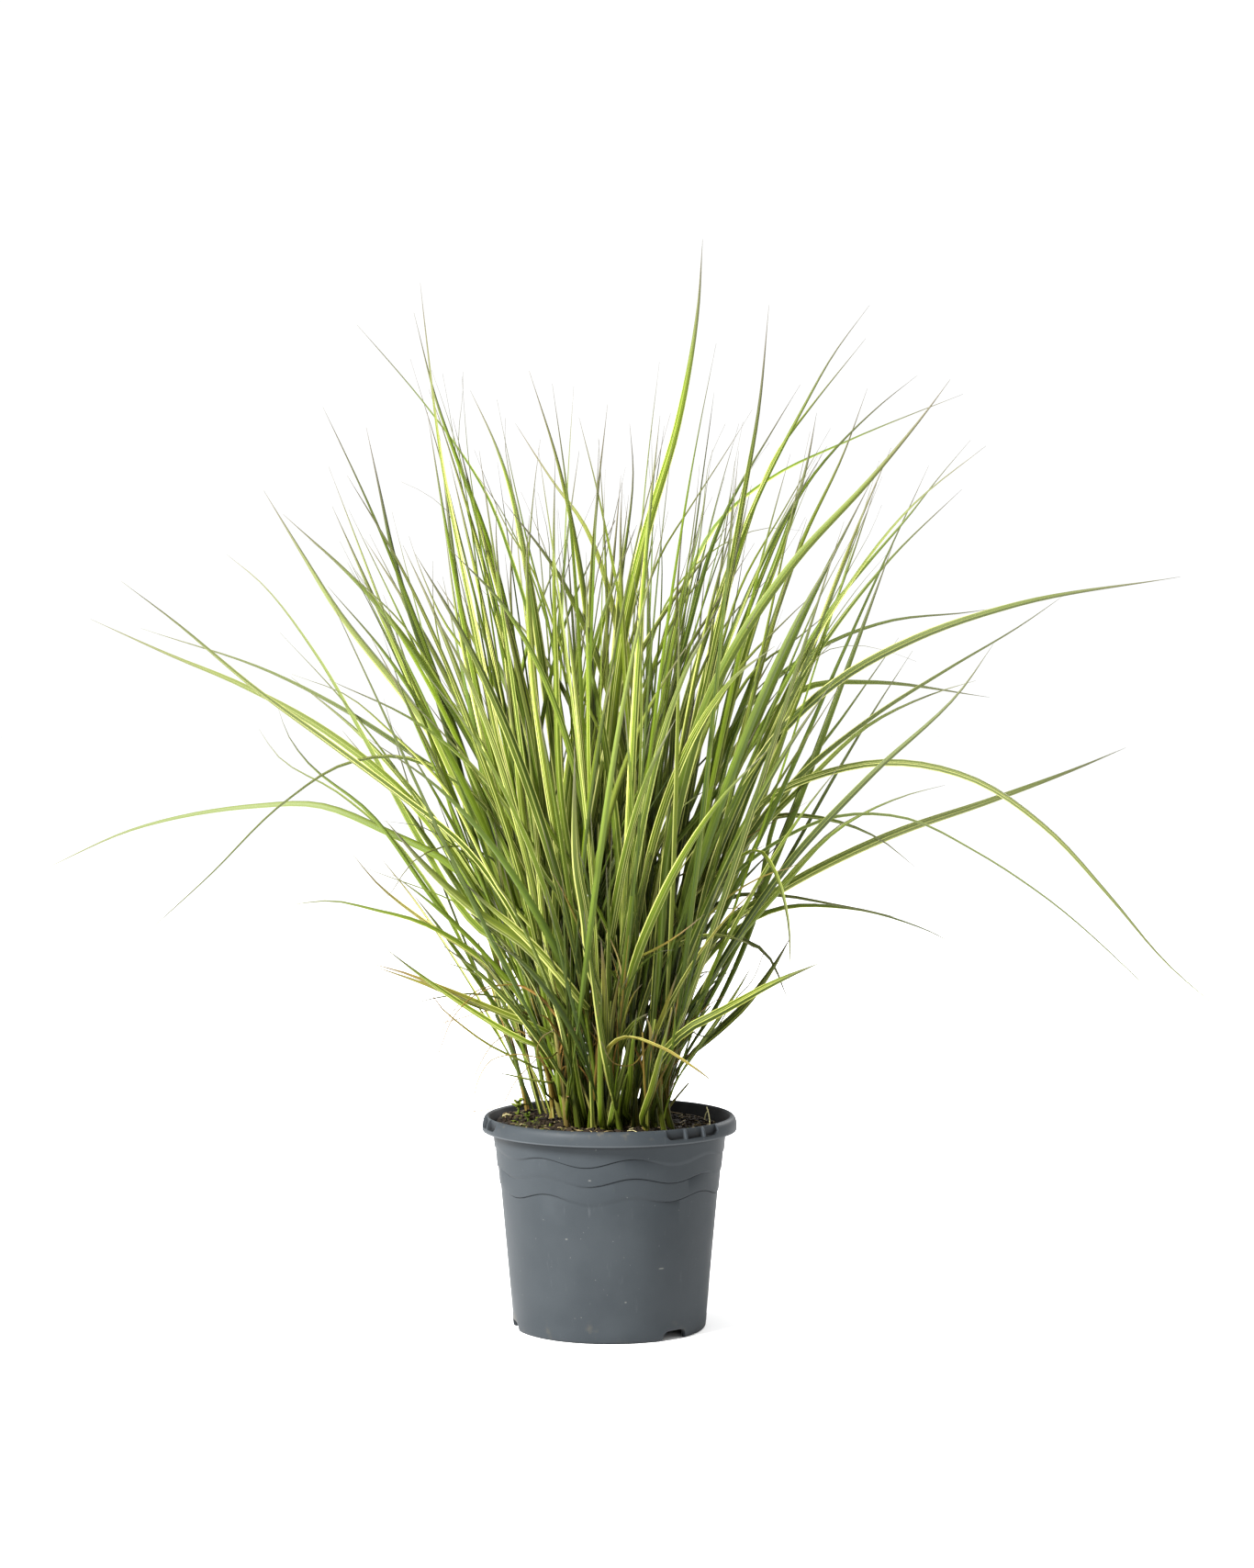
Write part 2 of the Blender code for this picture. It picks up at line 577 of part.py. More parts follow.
def build_pot(home, helpers):
    pot = turned("pot", pot_profile(), POT_SIDES, home)
    pot.data.materials.append(material("slate plastic", (0.13, 0.15, 0.165), 0.45))
    for vertex in pot.data.vertices:
        radius = math.hypot(vertex.co.x, vertex.co.y)
        near = [ledge for ledge in LEDGE_HEIGHTS if abs(vertex.co.z - ledge) < LEDGE_RISE]
        if near and radius > wall_radius(vertex.co.z) - WALL / 2:
            turn = math.atan2(vertex.co.y, vertex.co.x)
            vertex.co.z += WAVE_HEIGHT * math.sin(WAVES * turn)
    cut(pot, pot_cutters(helpers))
    return pot


def build_soil(stems, home, helpers):
    """The root ball, cast to the inside of the pot, with a socket for every stem."""
    base = FLOOR_HEIGHT + WALL + GAP
    inside = wall_radius(POT_HEIGHT - RIM_DEPTH) - WALL
    low = wall_radius(FLOOR_HEIGHT) - 1.5 * WALL
    slope = (inside - low) / (POT_HEIGHT - RIM_DEPTH - FLOOR_HEIGHT - WALL)
    top = low + slope * (SOIL_TOP - FLOOR_HEIGHT - WALL) - 3 * GAP
    profile = [(0, SOIL_TOP), (26 * MM, SOIL_TOP), (54 * MM, SOIL_TOP), (top - 6 * MM, SOIL_TOP - 0.6 * MM),
               (top, SOIL_TOP - 2 * MM), (low - 3 * GAP, base), (PAD_RADIUS + 2.6 * MM, base),
               (PAD_RADIUS - GAP, WALL + GAP), (0, WALL + GAP)]
    soil = turned("soil", profile, SOIL_SIDES, home)
    soil.data.materials.append(material("potting soil", (0.035, 0.025, 0.018), 0.95))
    dice = random.Random(SEED + 2)
    for vertex in soil.data.vertices:
        radius = math.hypot(vertex.co.x, vertex.co.y)
        if vertex.co.z > SOIL_TOP - 1 * MM and radius > 50 * MM:
            vertex.co.z += dice.uniform(-1, 0.4) * SOIL_UNEVEN
    sockets = bmesh.new()
    for stem in stems:
        rise = (stem[1] - stem[0]).normalized()
        foot = stem[0] - rise * (SOCKET_DEPTH - STEM_IN_SOIL)
        mouth = foot + rise * (SOCKET_DEPTH + 6 * MM)
        radius = STEM_RADIUS + SOCKET_CLEARANCE
        one = loft("socket", round_rings([foot, mouth], [radius, radius], STEM_SIDES))
        sockets.from_mesh(one)
    mesh = bpy.data.meshes.new("sockets")
    sockets.to_mesh(mesh)
    sockets.free()
    cut(soil, [helper(new_object("sockets", mesh, helpers))])
    return soil


def build_seedling(home, helpers):
    """A weed seedling at the edge of the soil: one thin stalk with two pairs of small leaves."""
    foot = Vector((-69 * MM, 24 * MM, SOIL_TOP + 1.2 * MM))
    stalk = [foot, foot + Vector((0.5, 0, 4)) * MM, foot + Vector((0, -0.5, 8)) * MM]
    mesh = loft("seedling", round_rings(stalk, [0.9 * MM, 0.8 * MM, 0.7 * MM], STEM_SIDES))
    seedling = new_object("seedling", mesh, home, material("seedling green", (0.35, 0.5, 0.06), 0.5))
    for k, height in enumerate((4.4, 6.6)):
        turn = math.radians(20 + 90 * k)
        out, across = Vector((math.cos(turn), math.sin(turn), 0)), Vector((-math.sin(turn), math.cos(turn), 0))
        middle = foot + Vector((0.1, -0.2, height)) * MM
        rings = [[middle - out * 6 * MM + Vector((0, 0, 2)) * MM]]
        for reach, half in ((-4.2, 1.4), (-2.4, 1.5), (0, 0.5), (2.4, 1.5), (4.2, 1.4)):
            here = middle + out * reach * MM + Vector((0, 0, 0.3 * abs(reach))) * MM
            rings.append([here - across * half * MM, here + across * half * MM, here - Vector((0, 0, 0.6 * MM))])
        rings.append([middle + out * 6 * MM + Vector((0, 0, 2)) * MM])
        pair = helper(new_object(f"seedling_pair_{k}", loft("seedling pair", rings), helpers))
        join = seedling.modifiers.new(f"pair {k}", "BOOLEAN")
        join.operation = "UNION"
        join.solver = "EXACT"
        join.object = pair
    return seedling


def main():
    for old in list(bpy.data.objects):
        bpy.data.objects.remove(old)
    home = bpy.data.collections.new("potted reed grass")
    helpers = bpy.data.collections.new("cutters and leaves to join")
    bpy.context.scene.collection.children.link(home)
    bpy.context.scene.collection.children.link(helpers)
    thicket = Thicket()
    shoots = drawn_clump(thicket)
    feet = [Vector((x * MM, y * MM)) for (x, y), _, _ in DRAWN_SHOOTS.values()]
    shoots += grown_clump(thicket, feet)
    build_pot(home, helpers)
    build_soil([stem for stem, _ in shoots], home, helpers)
    build_seedling(home, helpers)
    green = material("reed grass", (0.14, 0.24, 0.035), 0.5)
    dice = random.Random(SEED + 3)
    for number, (stem, leaves) in enumerate(shoots, start=1):
        build_shoot(number, stem, leaves, dice, home, helpers, green)


main()
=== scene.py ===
"""The looks of a potted clump of variegated reed grass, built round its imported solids.

Laid out as an add-on: sizes and colours are properties, each kind of piece has an operator, and
a panel in the 3D view's sidebar lists them. Metres, +Z up, and -Y is the front.
"""
import functools
import math
import random

import bmesh
import bpy
import numpy as np
from mathutils import Matrix, Vector


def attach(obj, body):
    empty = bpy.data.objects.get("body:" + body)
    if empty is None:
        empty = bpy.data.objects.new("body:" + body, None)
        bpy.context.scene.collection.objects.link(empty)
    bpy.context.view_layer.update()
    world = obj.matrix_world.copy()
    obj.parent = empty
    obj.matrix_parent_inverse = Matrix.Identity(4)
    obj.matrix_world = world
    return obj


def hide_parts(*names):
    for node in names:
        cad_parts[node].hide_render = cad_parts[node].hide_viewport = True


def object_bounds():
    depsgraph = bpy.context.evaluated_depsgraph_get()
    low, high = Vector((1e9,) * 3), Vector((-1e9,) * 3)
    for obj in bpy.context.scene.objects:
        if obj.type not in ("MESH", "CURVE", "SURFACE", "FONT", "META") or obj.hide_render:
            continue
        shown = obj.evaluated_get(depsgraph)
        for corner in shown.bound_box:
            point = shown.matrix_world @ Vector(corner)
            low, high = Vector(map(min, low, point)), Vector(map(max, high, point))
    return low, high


bl_info = {
    "name": "Potted reed grass",
    "version": (1, 0, 0),
    "blender": (4, 5, 0),
    "location": "3D View > Sidebar > Reed grass",
    "description": "Grows a variegated clump of reed grass in its nursery pot",
    "category": "Add Mesh",
}

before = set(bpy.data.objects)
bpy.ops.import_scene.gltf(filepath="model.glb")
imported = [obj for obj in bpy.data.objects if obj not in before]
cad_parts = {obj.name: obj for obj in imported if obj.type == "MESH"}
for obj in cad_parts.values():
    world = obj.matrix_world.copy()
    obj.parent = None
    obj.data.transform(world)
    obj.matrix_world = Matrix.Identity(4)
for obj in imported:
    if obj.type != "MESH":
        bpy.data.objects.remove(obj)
CAD_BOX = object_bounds()
MM = 0.001

# Pot, as its solid has it
RIM_DIAMETER = 190 * MM
RIM_DEPTH = 11 * MM
POT_HEIGHT = 158 * MM
FOOT_RADIUS = 71.6 * MM
WALL_SLOPE = 0.0903
WALL = 1.6 * MM
FLOOR_HEIGHT = 6.0 * MM
PAD_RADIUS = 30 * MM
LEDGE_STEP = 0.7 * MM
LEDGE_HEIGHTS = (106 * MM, 120 * MM, 134 * MM)
WAVES = 8
NOTCH_ANGLES = (42.0, 162.0, 282.0)
NOTCH_WIDTH = 22 * MM
NOTCH_HEIGHT = 6.8 * MM
DRAIN_RADIUS = 5.5 * MM
DRAIN_CIRCLE = 46 * MM
DRAINS = 6
POCKETS = 3
POCKET_PITCH = 10.8
POCKET_ARC = 9.8
POCKET_SHELF = 150.6 * MM
POCKET_RADIUS = 92.6 * MM
GAP = 0.35 * MM
SOIL_TOP = 148.5 * MM

# Stems and leaves, as their solids have them
STEM_RADIUS = 2.3 * MM
STEM_TIP_RADIUS = 1.3 * MM
STEM_IN_SOIL = 12 * MM
SEGMENT_LENGTH = 80 * MM
FEWEST_SEGMENTS = 4
MOST_SEGMENTS = 8
BEAD = 4 * MM
CLEARANCE = 0.75 * MM
DETOUR = 16 * MM
TRIES = 160
CLUMP_X = -4 * MM
CLUMP_CENTRE = Vector((CLUMP_X, 0))
CLUMP_RADIUS = 50 * MM
GROWN_SHOOTS = 20
FIRST_GROWN = 100
FOOT_SPACING = 8.5 * MM
FEET_ON_SPIRAL = 90
GOLDEN_TURN = 2.39996
MOST_FEET_TRIED = 900
DEEPEST_LEAF = 200 * MM

# Seeds, one for each thing that is grown or strewn
SEED = 29
GROWN_SEED, ROLL_SEED, PEAT_SEED, CRUMB_SEED = SEED + 1, SEED + 3, SEED + 11, SEED + 12
SHOOT_SEED, SHRED_SEED, SEEDLING_SEED, TRACED_SEED = SEED + 21, SEED + 31, SEED + 41, SEED + 51

# The front view that the outline leaves are drawn on: columns and rows of a 1366 x 1708 picture
SHEET_AXIS = 664
SHEET_FLOOR = 1447
SHEET_STEP = RIM_DIAMETER / 279
EYE = Vector((0.013, -2.56, 0.521))

# name: foot (x, y) in mm, stem as drawn, leaves as (share of the stem, width in mm, path as drawn)
DRAWN_SHOOTS = {
    "a": ((-60, 42), [(556, 1141), (540, 1105)], [
        (1.0, 4.6, [(520, 1064), (470, 971), (435, 923), (368, 863), (301, 821), (282, 793)]),
        (0.7, 4.0, [(541, 1060), (480, 990), (398, 880), (335, 829), (314, 800), (303, 770)])]),
    "b": ((-50, 30), [(577, 1170), (549, 1074)], [
        (1.0, 7.0, [(531, 997), (503, 850), (478, 758), (431, 610), (415, 535), (400, 465)]),
        (0.6, 5.6, [(536, 1060), (470, 1010), (423, 974), (411, 963), (384, 930)])]),
    "c": ((-43, 4), [(600, 1190), (588, 1115)], [
        (1.0, 7.2, [(545, 1000), (486, 936), (423, 904), (346, 874), (279, 875), (145, 901), (48, 945)]),
        (0.8, 6.4, [(560, 1075), (520, 1038), (454, 1001), (407, 989), (362, 980), (314, 985)])]),
    "d": ((-32, -9), [(604, 1150), (592, 1085)], [
        (1.0, 6.6, [(575, 950), (537, 787), (516, 682), (495, 577), (482, 509), (465, 366), (459, 309)]),
        (0.7, 6.8, [(560, 1040), (520, 974), (454, 879), (356, 796), (259, 743), (187, 713), (99, 673)])]),
    "e": ((-31, -27), [(612, 1180), (604, 1120)], [
        (1.0, 6.2, [(550, 985), (502, 920), (439, 869), (360, 810), (280, 751), (187, 673), (133, 632)]),
        (0.8, 7.2, [(577, 1110), (520, 1093), (464, 1071), (405, 1052)])]),
    "f": ((-25, 19), [(618, 1180), (609, 1095)], [
        (1.0, 8.4, [(590, 1050), (540, 910), (503, 846), (452, 770), (364, 657), (330, 602), (288, 533)]),
        (0.8, 7.0, [(560, 940), (520, 872), (432, 824), (375, 832), (311, 872), (225, 955), (155, 1018)])]),
    "g": ((-19, -6), [(628, 1180), (618, 1090)], [
        (1.0, 5.8, [(590, 880), (560, 700), (528, 577), (499, 501), (478, 442), (452, 341)]),
        (0.7, 6.8, [(600, 1060), (520, 1012), (458, 920), (398, 808), (343, 711), (284, 633), (248, 603)])]),
    "h": ((-14, 29), [(632, 1170), (625, 1050)], [
        (1.0, 6.6, [(600, 780), (560, 620), (532, 543), (465, 442), (427, 396), (390, 354)]),
        (0.8, 5.4, [(560, 940), (503, 859), (452, 823), (377, 774), (301, 734), (154, 683)])]),
    "i": ((-12, -29), [(644, 1180), (640, 1090)], [
        (1.0, 7.6, [(610, 860), (572, 602), (558, 535), (541, 484), (513, 425)]),
        (0.7, 8.6, [(616, 1091), (577, 1036), (520, 995), (470, 950), (420, 893)])]),
    "j": ((-4, 6), [(652, 1170), (650, 1060)], [
        (1.0, 6.2, [(648, 800), (640, 670), (626, 581), (608, 502), (577, 404)]),
        (0.8, 5.4, [(645, 800), (645, 634), (651, 545), (662, 440)])]),
    "k": ((1, -16), [(662, 1180), (660, 1080)], [
        (1.0, 9.2, [(655, 950), (665, 800), (680, 680), (703, 580), (737, 464), (759, 343), (765, 262)]),
        (0.5, 4.2, [(647, 1073), (662, 1044), (691, 1063)])]),
    "l": ((5, 26), [(668, 1160), (670, 1060)], [
        (1.0, 5.6, [(668, 800), (676, 643), (690, 509), (686, 461)]),
        (0.8, 8.0, [(680, 800), (670, 679), (635, 570), (602, 524), (562, 461)])]),
    "m": ((9, -32), [(668, 1200), (667, 1130)], [
        (1.0, 8.8, [(645, 1062), (639, 1003), (629, 940), (626, 812)]),
        (0.35, 5.0, [(660, 1150), (679, 1131), (717, 1141), (753, 1162), (780, 1181)])]),
    "n": ((12, -4), [(682, 1170), (690, 1070)], [
        (1.0, 6.8, [(695, 850), (680, 690), (663, 595), (649, 527), (631, 454)]),
        (0.8, 5.4, [(705, 880), (745, 700), (789, 559), (841, 468), (871, 419)])]),
    "o": ((18, 20), [(690, 1160), (700, 1060)], [
        (1.0, 5.6, [(725, 850), (775, 670), (828, 533), (875, 442), (905, 389), (946, 333)]),
        (0.8, 7.2, [(715, 850), (740, 650), (780, 568), (837, 520), (923, 479), (1048, 429)])]),
    "p": ((20, -20), [(692, 1190), (700, 1115)], [
        (1.0, 6.6, [(745, 860), (790, 650), (811, 533), (826, 447), (837, 333)]),
        (0.6, 5.6, [(702, 1090), (727, 1042), (771, 1019), (830, 1033), (862, 1095)])]),
    "q": ((27, 4), [(700, 1170), (715, 1075)], [
        (1.0, 6.0, [(745, 850), (800, 620), (849, 490), (884, 442), (942, 369)]),
        (0.8, 5.6, [(750, 860), (810, 680), (884, 520), (957, 442), (998, 409)])]),
    "r": ((28, -31), [(705, 1190), (714, 1110)], [
        (1.0, 8.8, [(730, 920), (775, 755), (862, 615), (949, 520), (1009, 447), (1034, 413)]),
        (0.4, 7.2, [(748, 1122), (780, 1105), (840, 1072), (895, 1048)])]),
    "s": ((32, 25), [(708, 1160), (723, 1080)], [
        (1.0, 5.2, [(765, 880), (820, 740), (875, 585), (918, 494), (944, 423)]),
        (0.8, 5.0, [(775, 900), (820, 765), (884, 710), (966, 676), (1052, 666), (1086, 661)])]),
    "t": ((35, -11), [(712, 1180), (727, 1100)], [
        (1.0, 9.4, [(755, 950), (810, 820), (880, 662), (949, 522)]),
        (0.8, 8.4, [(765, 900), (816, 688), (851, 593), (878, 506), (889, 449)])]),
    "u": ((38, 11), [(716, 1170), (734, 1095)], [
        (1.0, 6.4, [(760, 980), (820, 830), (906, 662), (992, 550), (1073, 485)]),
        (0.8, 7.6, [(775, 900), (830, 790), (880, 746), (949, 741), (1078, 758)]),
        (0.6, 5.0, [(790, 950), (825, 925), (845, 950), (860, 1008), (860, 1075)])]),
    "v": ((41, -24), [(718, 1190), (737, 1110)], [
        (1.0, 7.8, [(790, 910), (841, 809), (914, 740), (1000, 693), (1104, 658), (1285, 627)]),
        (0.8, 5.2, [(780, 975), (840, 922), (914, 889), (988, 891), (1062, 926), (1136, 974),
                    (1282, 1103)])]),
    "w": ((45, 0), [(722, 1170), (741, 1100)], [
        (1.0, 6.2, [(790, 930), (870, 740), (970, 606), (1047, 532)]),
        (0.8, 6.4, [(790, 930), (840, 865), (895, 841), (969, 828), (1062, 847), (1141, 900),
                    (1210, 974), (1273, 1048), (1345, 1111)]),
        (0.6, 5.8, [(780, 1030), (840, 990), (925, 987), (1003, 1009), (1043, 1029)])]),
    "x": ((41, 29), [(718, 1160), (739, 1090)], [
        (1.0, 8.0, [(780, 980), (850, 870), (949, 783), (1035, 727), (1112, 680), (1156, 649)]),
        (0.8, 5.6, [(780, 930), (840, 889), (888, 889), (962, 915), (997, 943)]),
        (0.6, 5.4, [(790, 950), (880, 850), (949, 787), (1026, 751), (1063, 740)])]),
    "y": ((47, -15), [(724, 1180), (745, 1115)], [
        (1.0, 7.8, [(790, 1010), (858, 965), (969, 910), (1080, 871), (1173, 836), (1227, 813)]),
        (0.8, 6.0, [(794, 1036), (860, 940), (949, 843), (1048, 749), (1082, 700)]),
        (0.6, 4.4, [(800, 1030), (850, 970), (914, 902), (988, 865), (1030, 854)])]),
    "z": ((40, 43), [(728, 1190), (740, 1163)], [
        (1.0, 7.0, [(780, 1124), (813, 1093), (846, 1048), (862, 1020)]),
        (0.7, 5.2, [(785, 1090), (820, 1010), (850, 880), (923, 774), (979, 693)])]),
}

# Drawn leaves that are fading: (shoot, leaf) to how dry they are at the base and at the tip
FADING_LEAVES = {
    ("m", 1): (0.25, 0.95),
    ("e", 1): (0.0, 0.55),
    ("k", 1): (0.15, 0.3),
    ("b", 1): (0.1, 0.5),
}

# Blades that only the looks have, as the front view shows them: kind, width in mm, then column,row
# from base to tip. The kinds are green, striped, variegated, pale, deep green, yellow green,
# ripening, old, and thread.
TRACED_BLADES = """
p 2.6 560,900 520,815 475,735 440,680 400,640 338,587
p 1.8 530,720 505,600 488,556 465,537 438,524
g 3.6 575,860 518,725 482,672 455,610 446,583
p 3.4 540,880 510,790 480,705 472,655 472,610
d 2.4 560,900 530,800 512,695 498,630 490,580
p 3.0 520,950 480,850 440,757 428,722 417,688
p 3.2 540,960 480,850 425,795 380,757 318,733
d 4.6 590,950 545,870 495,812 470,785 440,755
d 2.2 560,960 530,930 490,920 450,937 425,972 405,992
g 2.6 550,1010 480,975 420,953 385,940
p 2.0 560,985 500,925 460,900 417,893
d 1.8 520,985 490,905 468,848
y 3.0 600,960 555,870 515,790 470,722
d 2.6 565,860 530,700 500,580 475,480 461,434 448,391
s 4.5 590,860 550,700 515,570 493,498 478,452 468,424
p 2.4 585,840 545,670 510,530 495,475 484,440 471,403
p 2.0 575,800 530,640 500,510 489,440 483,407
p 1.8 530,700 512,560 500,475 505,425 505,405
p 1.8 545,740 525,600 511,500 506,440 504,410
s 5.0 610,900 580,780 545,650 520,560 500,480 494,455
y 2.6 640,800 600,690 575,615 545,553 520,517 500,490
g 3.0 610,700 575,610 550,570 535,535 517,489
p 4.4 565,860 552,720 545,640 541,590 541,548
d 4.4 575,860 562,720 557,640 558,590 561,545
p 3.0 585,760 570,600 558,530 551,490 551,455
p 2.5 610,760 600,690 575,590 556,505 542,435
s 3.6 590,860 580,760 575,640 583,525 589,478
g 5.6 625,960 612,880 605,720 603,600 605,495
g 2.6 640,840 620,740 597,605 580,562 568,535
p 2.4 620,760 600,650 597,580 586,535
d 1.6 625,800 616,740 611,640 607,555
d 2.0 590,800 600,700 612,640 628,588 649,538
d 1.4 640,700 650,627 662,583 670,566
g 5.8 690,860 682,740 677,640 676,580 678,523
p 1.6 690,760 702,640 712,560 709,530 706,498
s 5.0 685,860 697,720 703,610 709,560 711,533
p 2.2 712,760 720,660 721,610 719,575 717,545
s 3.2 700,860 730,720 747,630 757,560 762,505
g 2.6 705,840 740,690 760,600 771,520 776,489
p 2.2 720,800 752,620 765,560 773,500 790,461
g 3.6 660,800 690,690 722,600 752,552 795,485 819,446
d 2.0 740,740 775,630 800,560 815,515 838,481
p 1.8 735,760 770,640 793,550 801,500 809,459
d 5.0 730,860 736,740 738,640 741,600 745,562
g 3.6 690,760 735,640 770,603 800,585 835,574 873,577
p 1.6 735,740 755,640 775,570 789,519
d 1.6 725,720 748,620 762,570 776,540
g 3.2 770,760 810,630 850,560 880,508 904,466
y 4.2 830,790 862,730 900,668 945,612 990,560 1022,519 1056,479
g 2.8 830,800 862,720 900,635 918,602 932,578
p 2.0 850,780 900,665 930,610 948,578 960,549
s 2.2 850,770 905,680 940,632 968,600
d 1.6 800,720 850,607 866,583 877,562
d 2.4 820,760 830,715 835,690 842,670 849,655
p 1.2 850,790 875,740 890,716 906,699
g 3.6 720,860 752,760 778,700 800,665 838,628 850,612
d 5.0 740,860 765,780 790,725 815,680 825,662
g 4.4 745,860 790,750 815,715 845,685 878,653 893,640
s 4.4 760,860 800,760 830,720 860,700 895,672 915,655
d 1.8 790,800 835,740 875,723 906,705 940,702 970,709 998,719
d 2.8 780,960 830,880 860,832 890,785 924,731
r 2.2 800,920 835,898 860,884 882,871
r 3.0 760,1010 800,972 838,951 862,944 878,934
d 4.0 740,1030 770,992 800,976 850,975 905,984 950,992 984,1000
d 2.2 760,1000 790,989 815,989 843,996
s 5.0 697,1120 706,1085 718,1055 735,1033 757,1021 785,1018 808,1024 829,1036
g 4.0 735,1150 760,1097 800,1028 850,965 880,930 915,898 951,879
d 1.2 770,1130 800,1090 820,1068 833,1036
y 5.0 615,880 637,795 660,735 680,690 697,640 709,600 716,570
s 6.0 645,900 662,810 680,745 703,700 735,650 765,610 800,560
s 4.0 645,900 656,810 666,745 680,690 690,665 700,640
g 6.0 680,900 693,800 705,750 722,700 745,655 770,620 790,590
y 5.0 700,900 716,810 725,750 735,690 748,635 757,590 765,555
d 4.6 700,860 725,770 750,705 775,665 800,625 822,590
v 6.0 610,940 592,830 580,740 575,660 574,600 577,560
g 6.0 618,900 625,800 628,720 635,670 643,625 652,590
d 6.0 600,900 585,820 570,750 556,690 545,640 535,590
y 6.5 590,920 572,820 555,740 543,680 533,620 525,570
d 5.0 690,860 690,760 692,700 697,650 700,600
p 5.4 600,1146 560,1130 520,1106 480,1079 450,1057 417,1031
d 2.8 600,1110 560,1093 520,1083 480,1086 441,1095
r 3.2 592,1168 570,1158 533,1140 500,1116 478,1096 464,1073
t 1.3 590,1082 555,1072 520,1082 495,1105 476,1150
t 1.2 596,1128 565,1124 540,1134 523,1158 513,1183
t 1.1 600,1153 560,1149 535,1155 519,1180 517,1236
t 1.1 598,1113 565,1101 530,1101 495,1111 465,1117
p 4.0 600,1181 575,1177 555,1172 541,1169
r 5.5 609,1133 587,1121 550,1106 513,1090 477,1075 440,1060 402,1049
t 1.1 577,1075 538,1073 521,1078 501,1092 484,1116 474,1150
t 1.0 590,1150 560,1180 545,1205 520,1211 484,1214
r 3.2 652,1090 664,1064 690,1046 720,1031 745,1014 768,995
g 3.6 696,1110 720,1083 745,1066 770,1040 795,1015
v 7.0 640,1100 620,1075 590,1040 560,1010 530,985 500,955
d 2.0 735,1145 750,1130 765,1118
v 6.0 590,1060 572,960 560,900 552,840 541,790 530,740
y 6.5 600,1080 585,1000 573,920 565,850 558,790 550,730
p 5.0 605,1080 592,1000 586,920 580,850 572,780
s 4.0 625,1080 608,980 597,920 590,860 584,800
v 5.0 652,1080 655,1000 660,920 668,860 677,800 684,750
g 6.0 668,1000 672,920 675,860 678,800 682,740
y 6.5 668,1040 675,960 683,910 693,865 704,815 712,770
y 6.5 700,1000 706,900 712,860 719,810 725,760
g 6.5 712,1060 720,980 728,910 738,855 748,800 760,750
s 6.0 715,1080 735,1000 758,935 780,885 805,830 830,780
d 5.0 722,1080 745,1000 770,940 795,880 820,830
r 2.6 640,1030 625,995 612,968 600,947
r 3.0 705,1030 697,985 688,950 683,935
p 2.6 690,970 708,930 727,897 747,875 772,858 793,850
o 3.0 606,1200 598,1175 588,1148 578,1128
y 5.0 595,1195 580,1120 566,1060 552,1000 540,930
y 5.5 612,1200 604,1150 592,1090 575,1010 562,930
o 2.4 648,1200 650,1160 652,1120 650,1095
y 6.5 618,1225 610,1180 596,1122 585,1075
g 5.0 637,1225 628,1180 622,1130 618,1080
y 5.5 656,1230 655,1180 655,1120 656,1064
g 6.0 665,1230 672,1195 680,1165 690,1110
y 5.0 684,1222 686,1185 688,1150 694,1100
g 6.5 700,1226 711,1190 721,1150 733,1100
d 5.0 712,1222 722,1185 735,1150 748,1105
o 3.5 648,1205 650,1160 651,1120 655,1085
o 2.0 640,1140 628,1120 622,1095 612,1085
o 2.2 630,1190 640,1165 646,1140 660,1128
t 1.2 610,1120 620,1150 640,1165 655,1150 660,1125
t 1.1 706,1140 690,1160 668,1158 655,1135
t 1.1 598,1165 585,1150 590,1130 604,1122
"""

# How those kinds look: place from dark to fresh green, share of stripes, dryness at base and tip
BLADE_KINDS = {
    "g": (0.62, 0.35, 0, 0.1),
    "s": (0.5, 0.8, 0, 0.1),
    "v": (0.6, 1, 0, 0),
    "p": (0.85, 0.9, 0, 0.05),
    "d": (0.1, 0.25, 0, 0.15),
    "y": (0.96, 0.3, 0, 0),
    "r": (0.5, 0.3, 0, 1),
    "o": (0.5, 0.2, 0.7, 1),
    "t": (0.2, 0, 0.4, 0.8),
}

# Straw, dead leaves and rootlets on the soil: dryness as tint, width in mm, then column,row
LITTER = """
0.9 1.3 534,1209 572,1202 610,1203
0.95 0.9 556,1218 568,1210 583,1204
0.75 0.8 500,1213 520,1212 540,1210
0.85 2.0 642,1230 644,1217 648,1206
0.35 3.2 700,1185 712,1188 724,1198 733,1216
0.8 2.0 768,1203 772,1214 775,1227
0.3 1.2 733,1190 747,1196 756,1208
0.9 0.7 655,1233 668,1224 679,1221 690,1236
0.85 0.7 740,1222 752,1214 766,1212
0.7 0.8 592,1226 604,1217 616,1219
"""


# Properties

def colour_property(name, description, default):
    return bpy.props.FloatVectorProperty(
        name=name, description=description, default=default, subtype="COLOR", size=3, min=0, max=1)


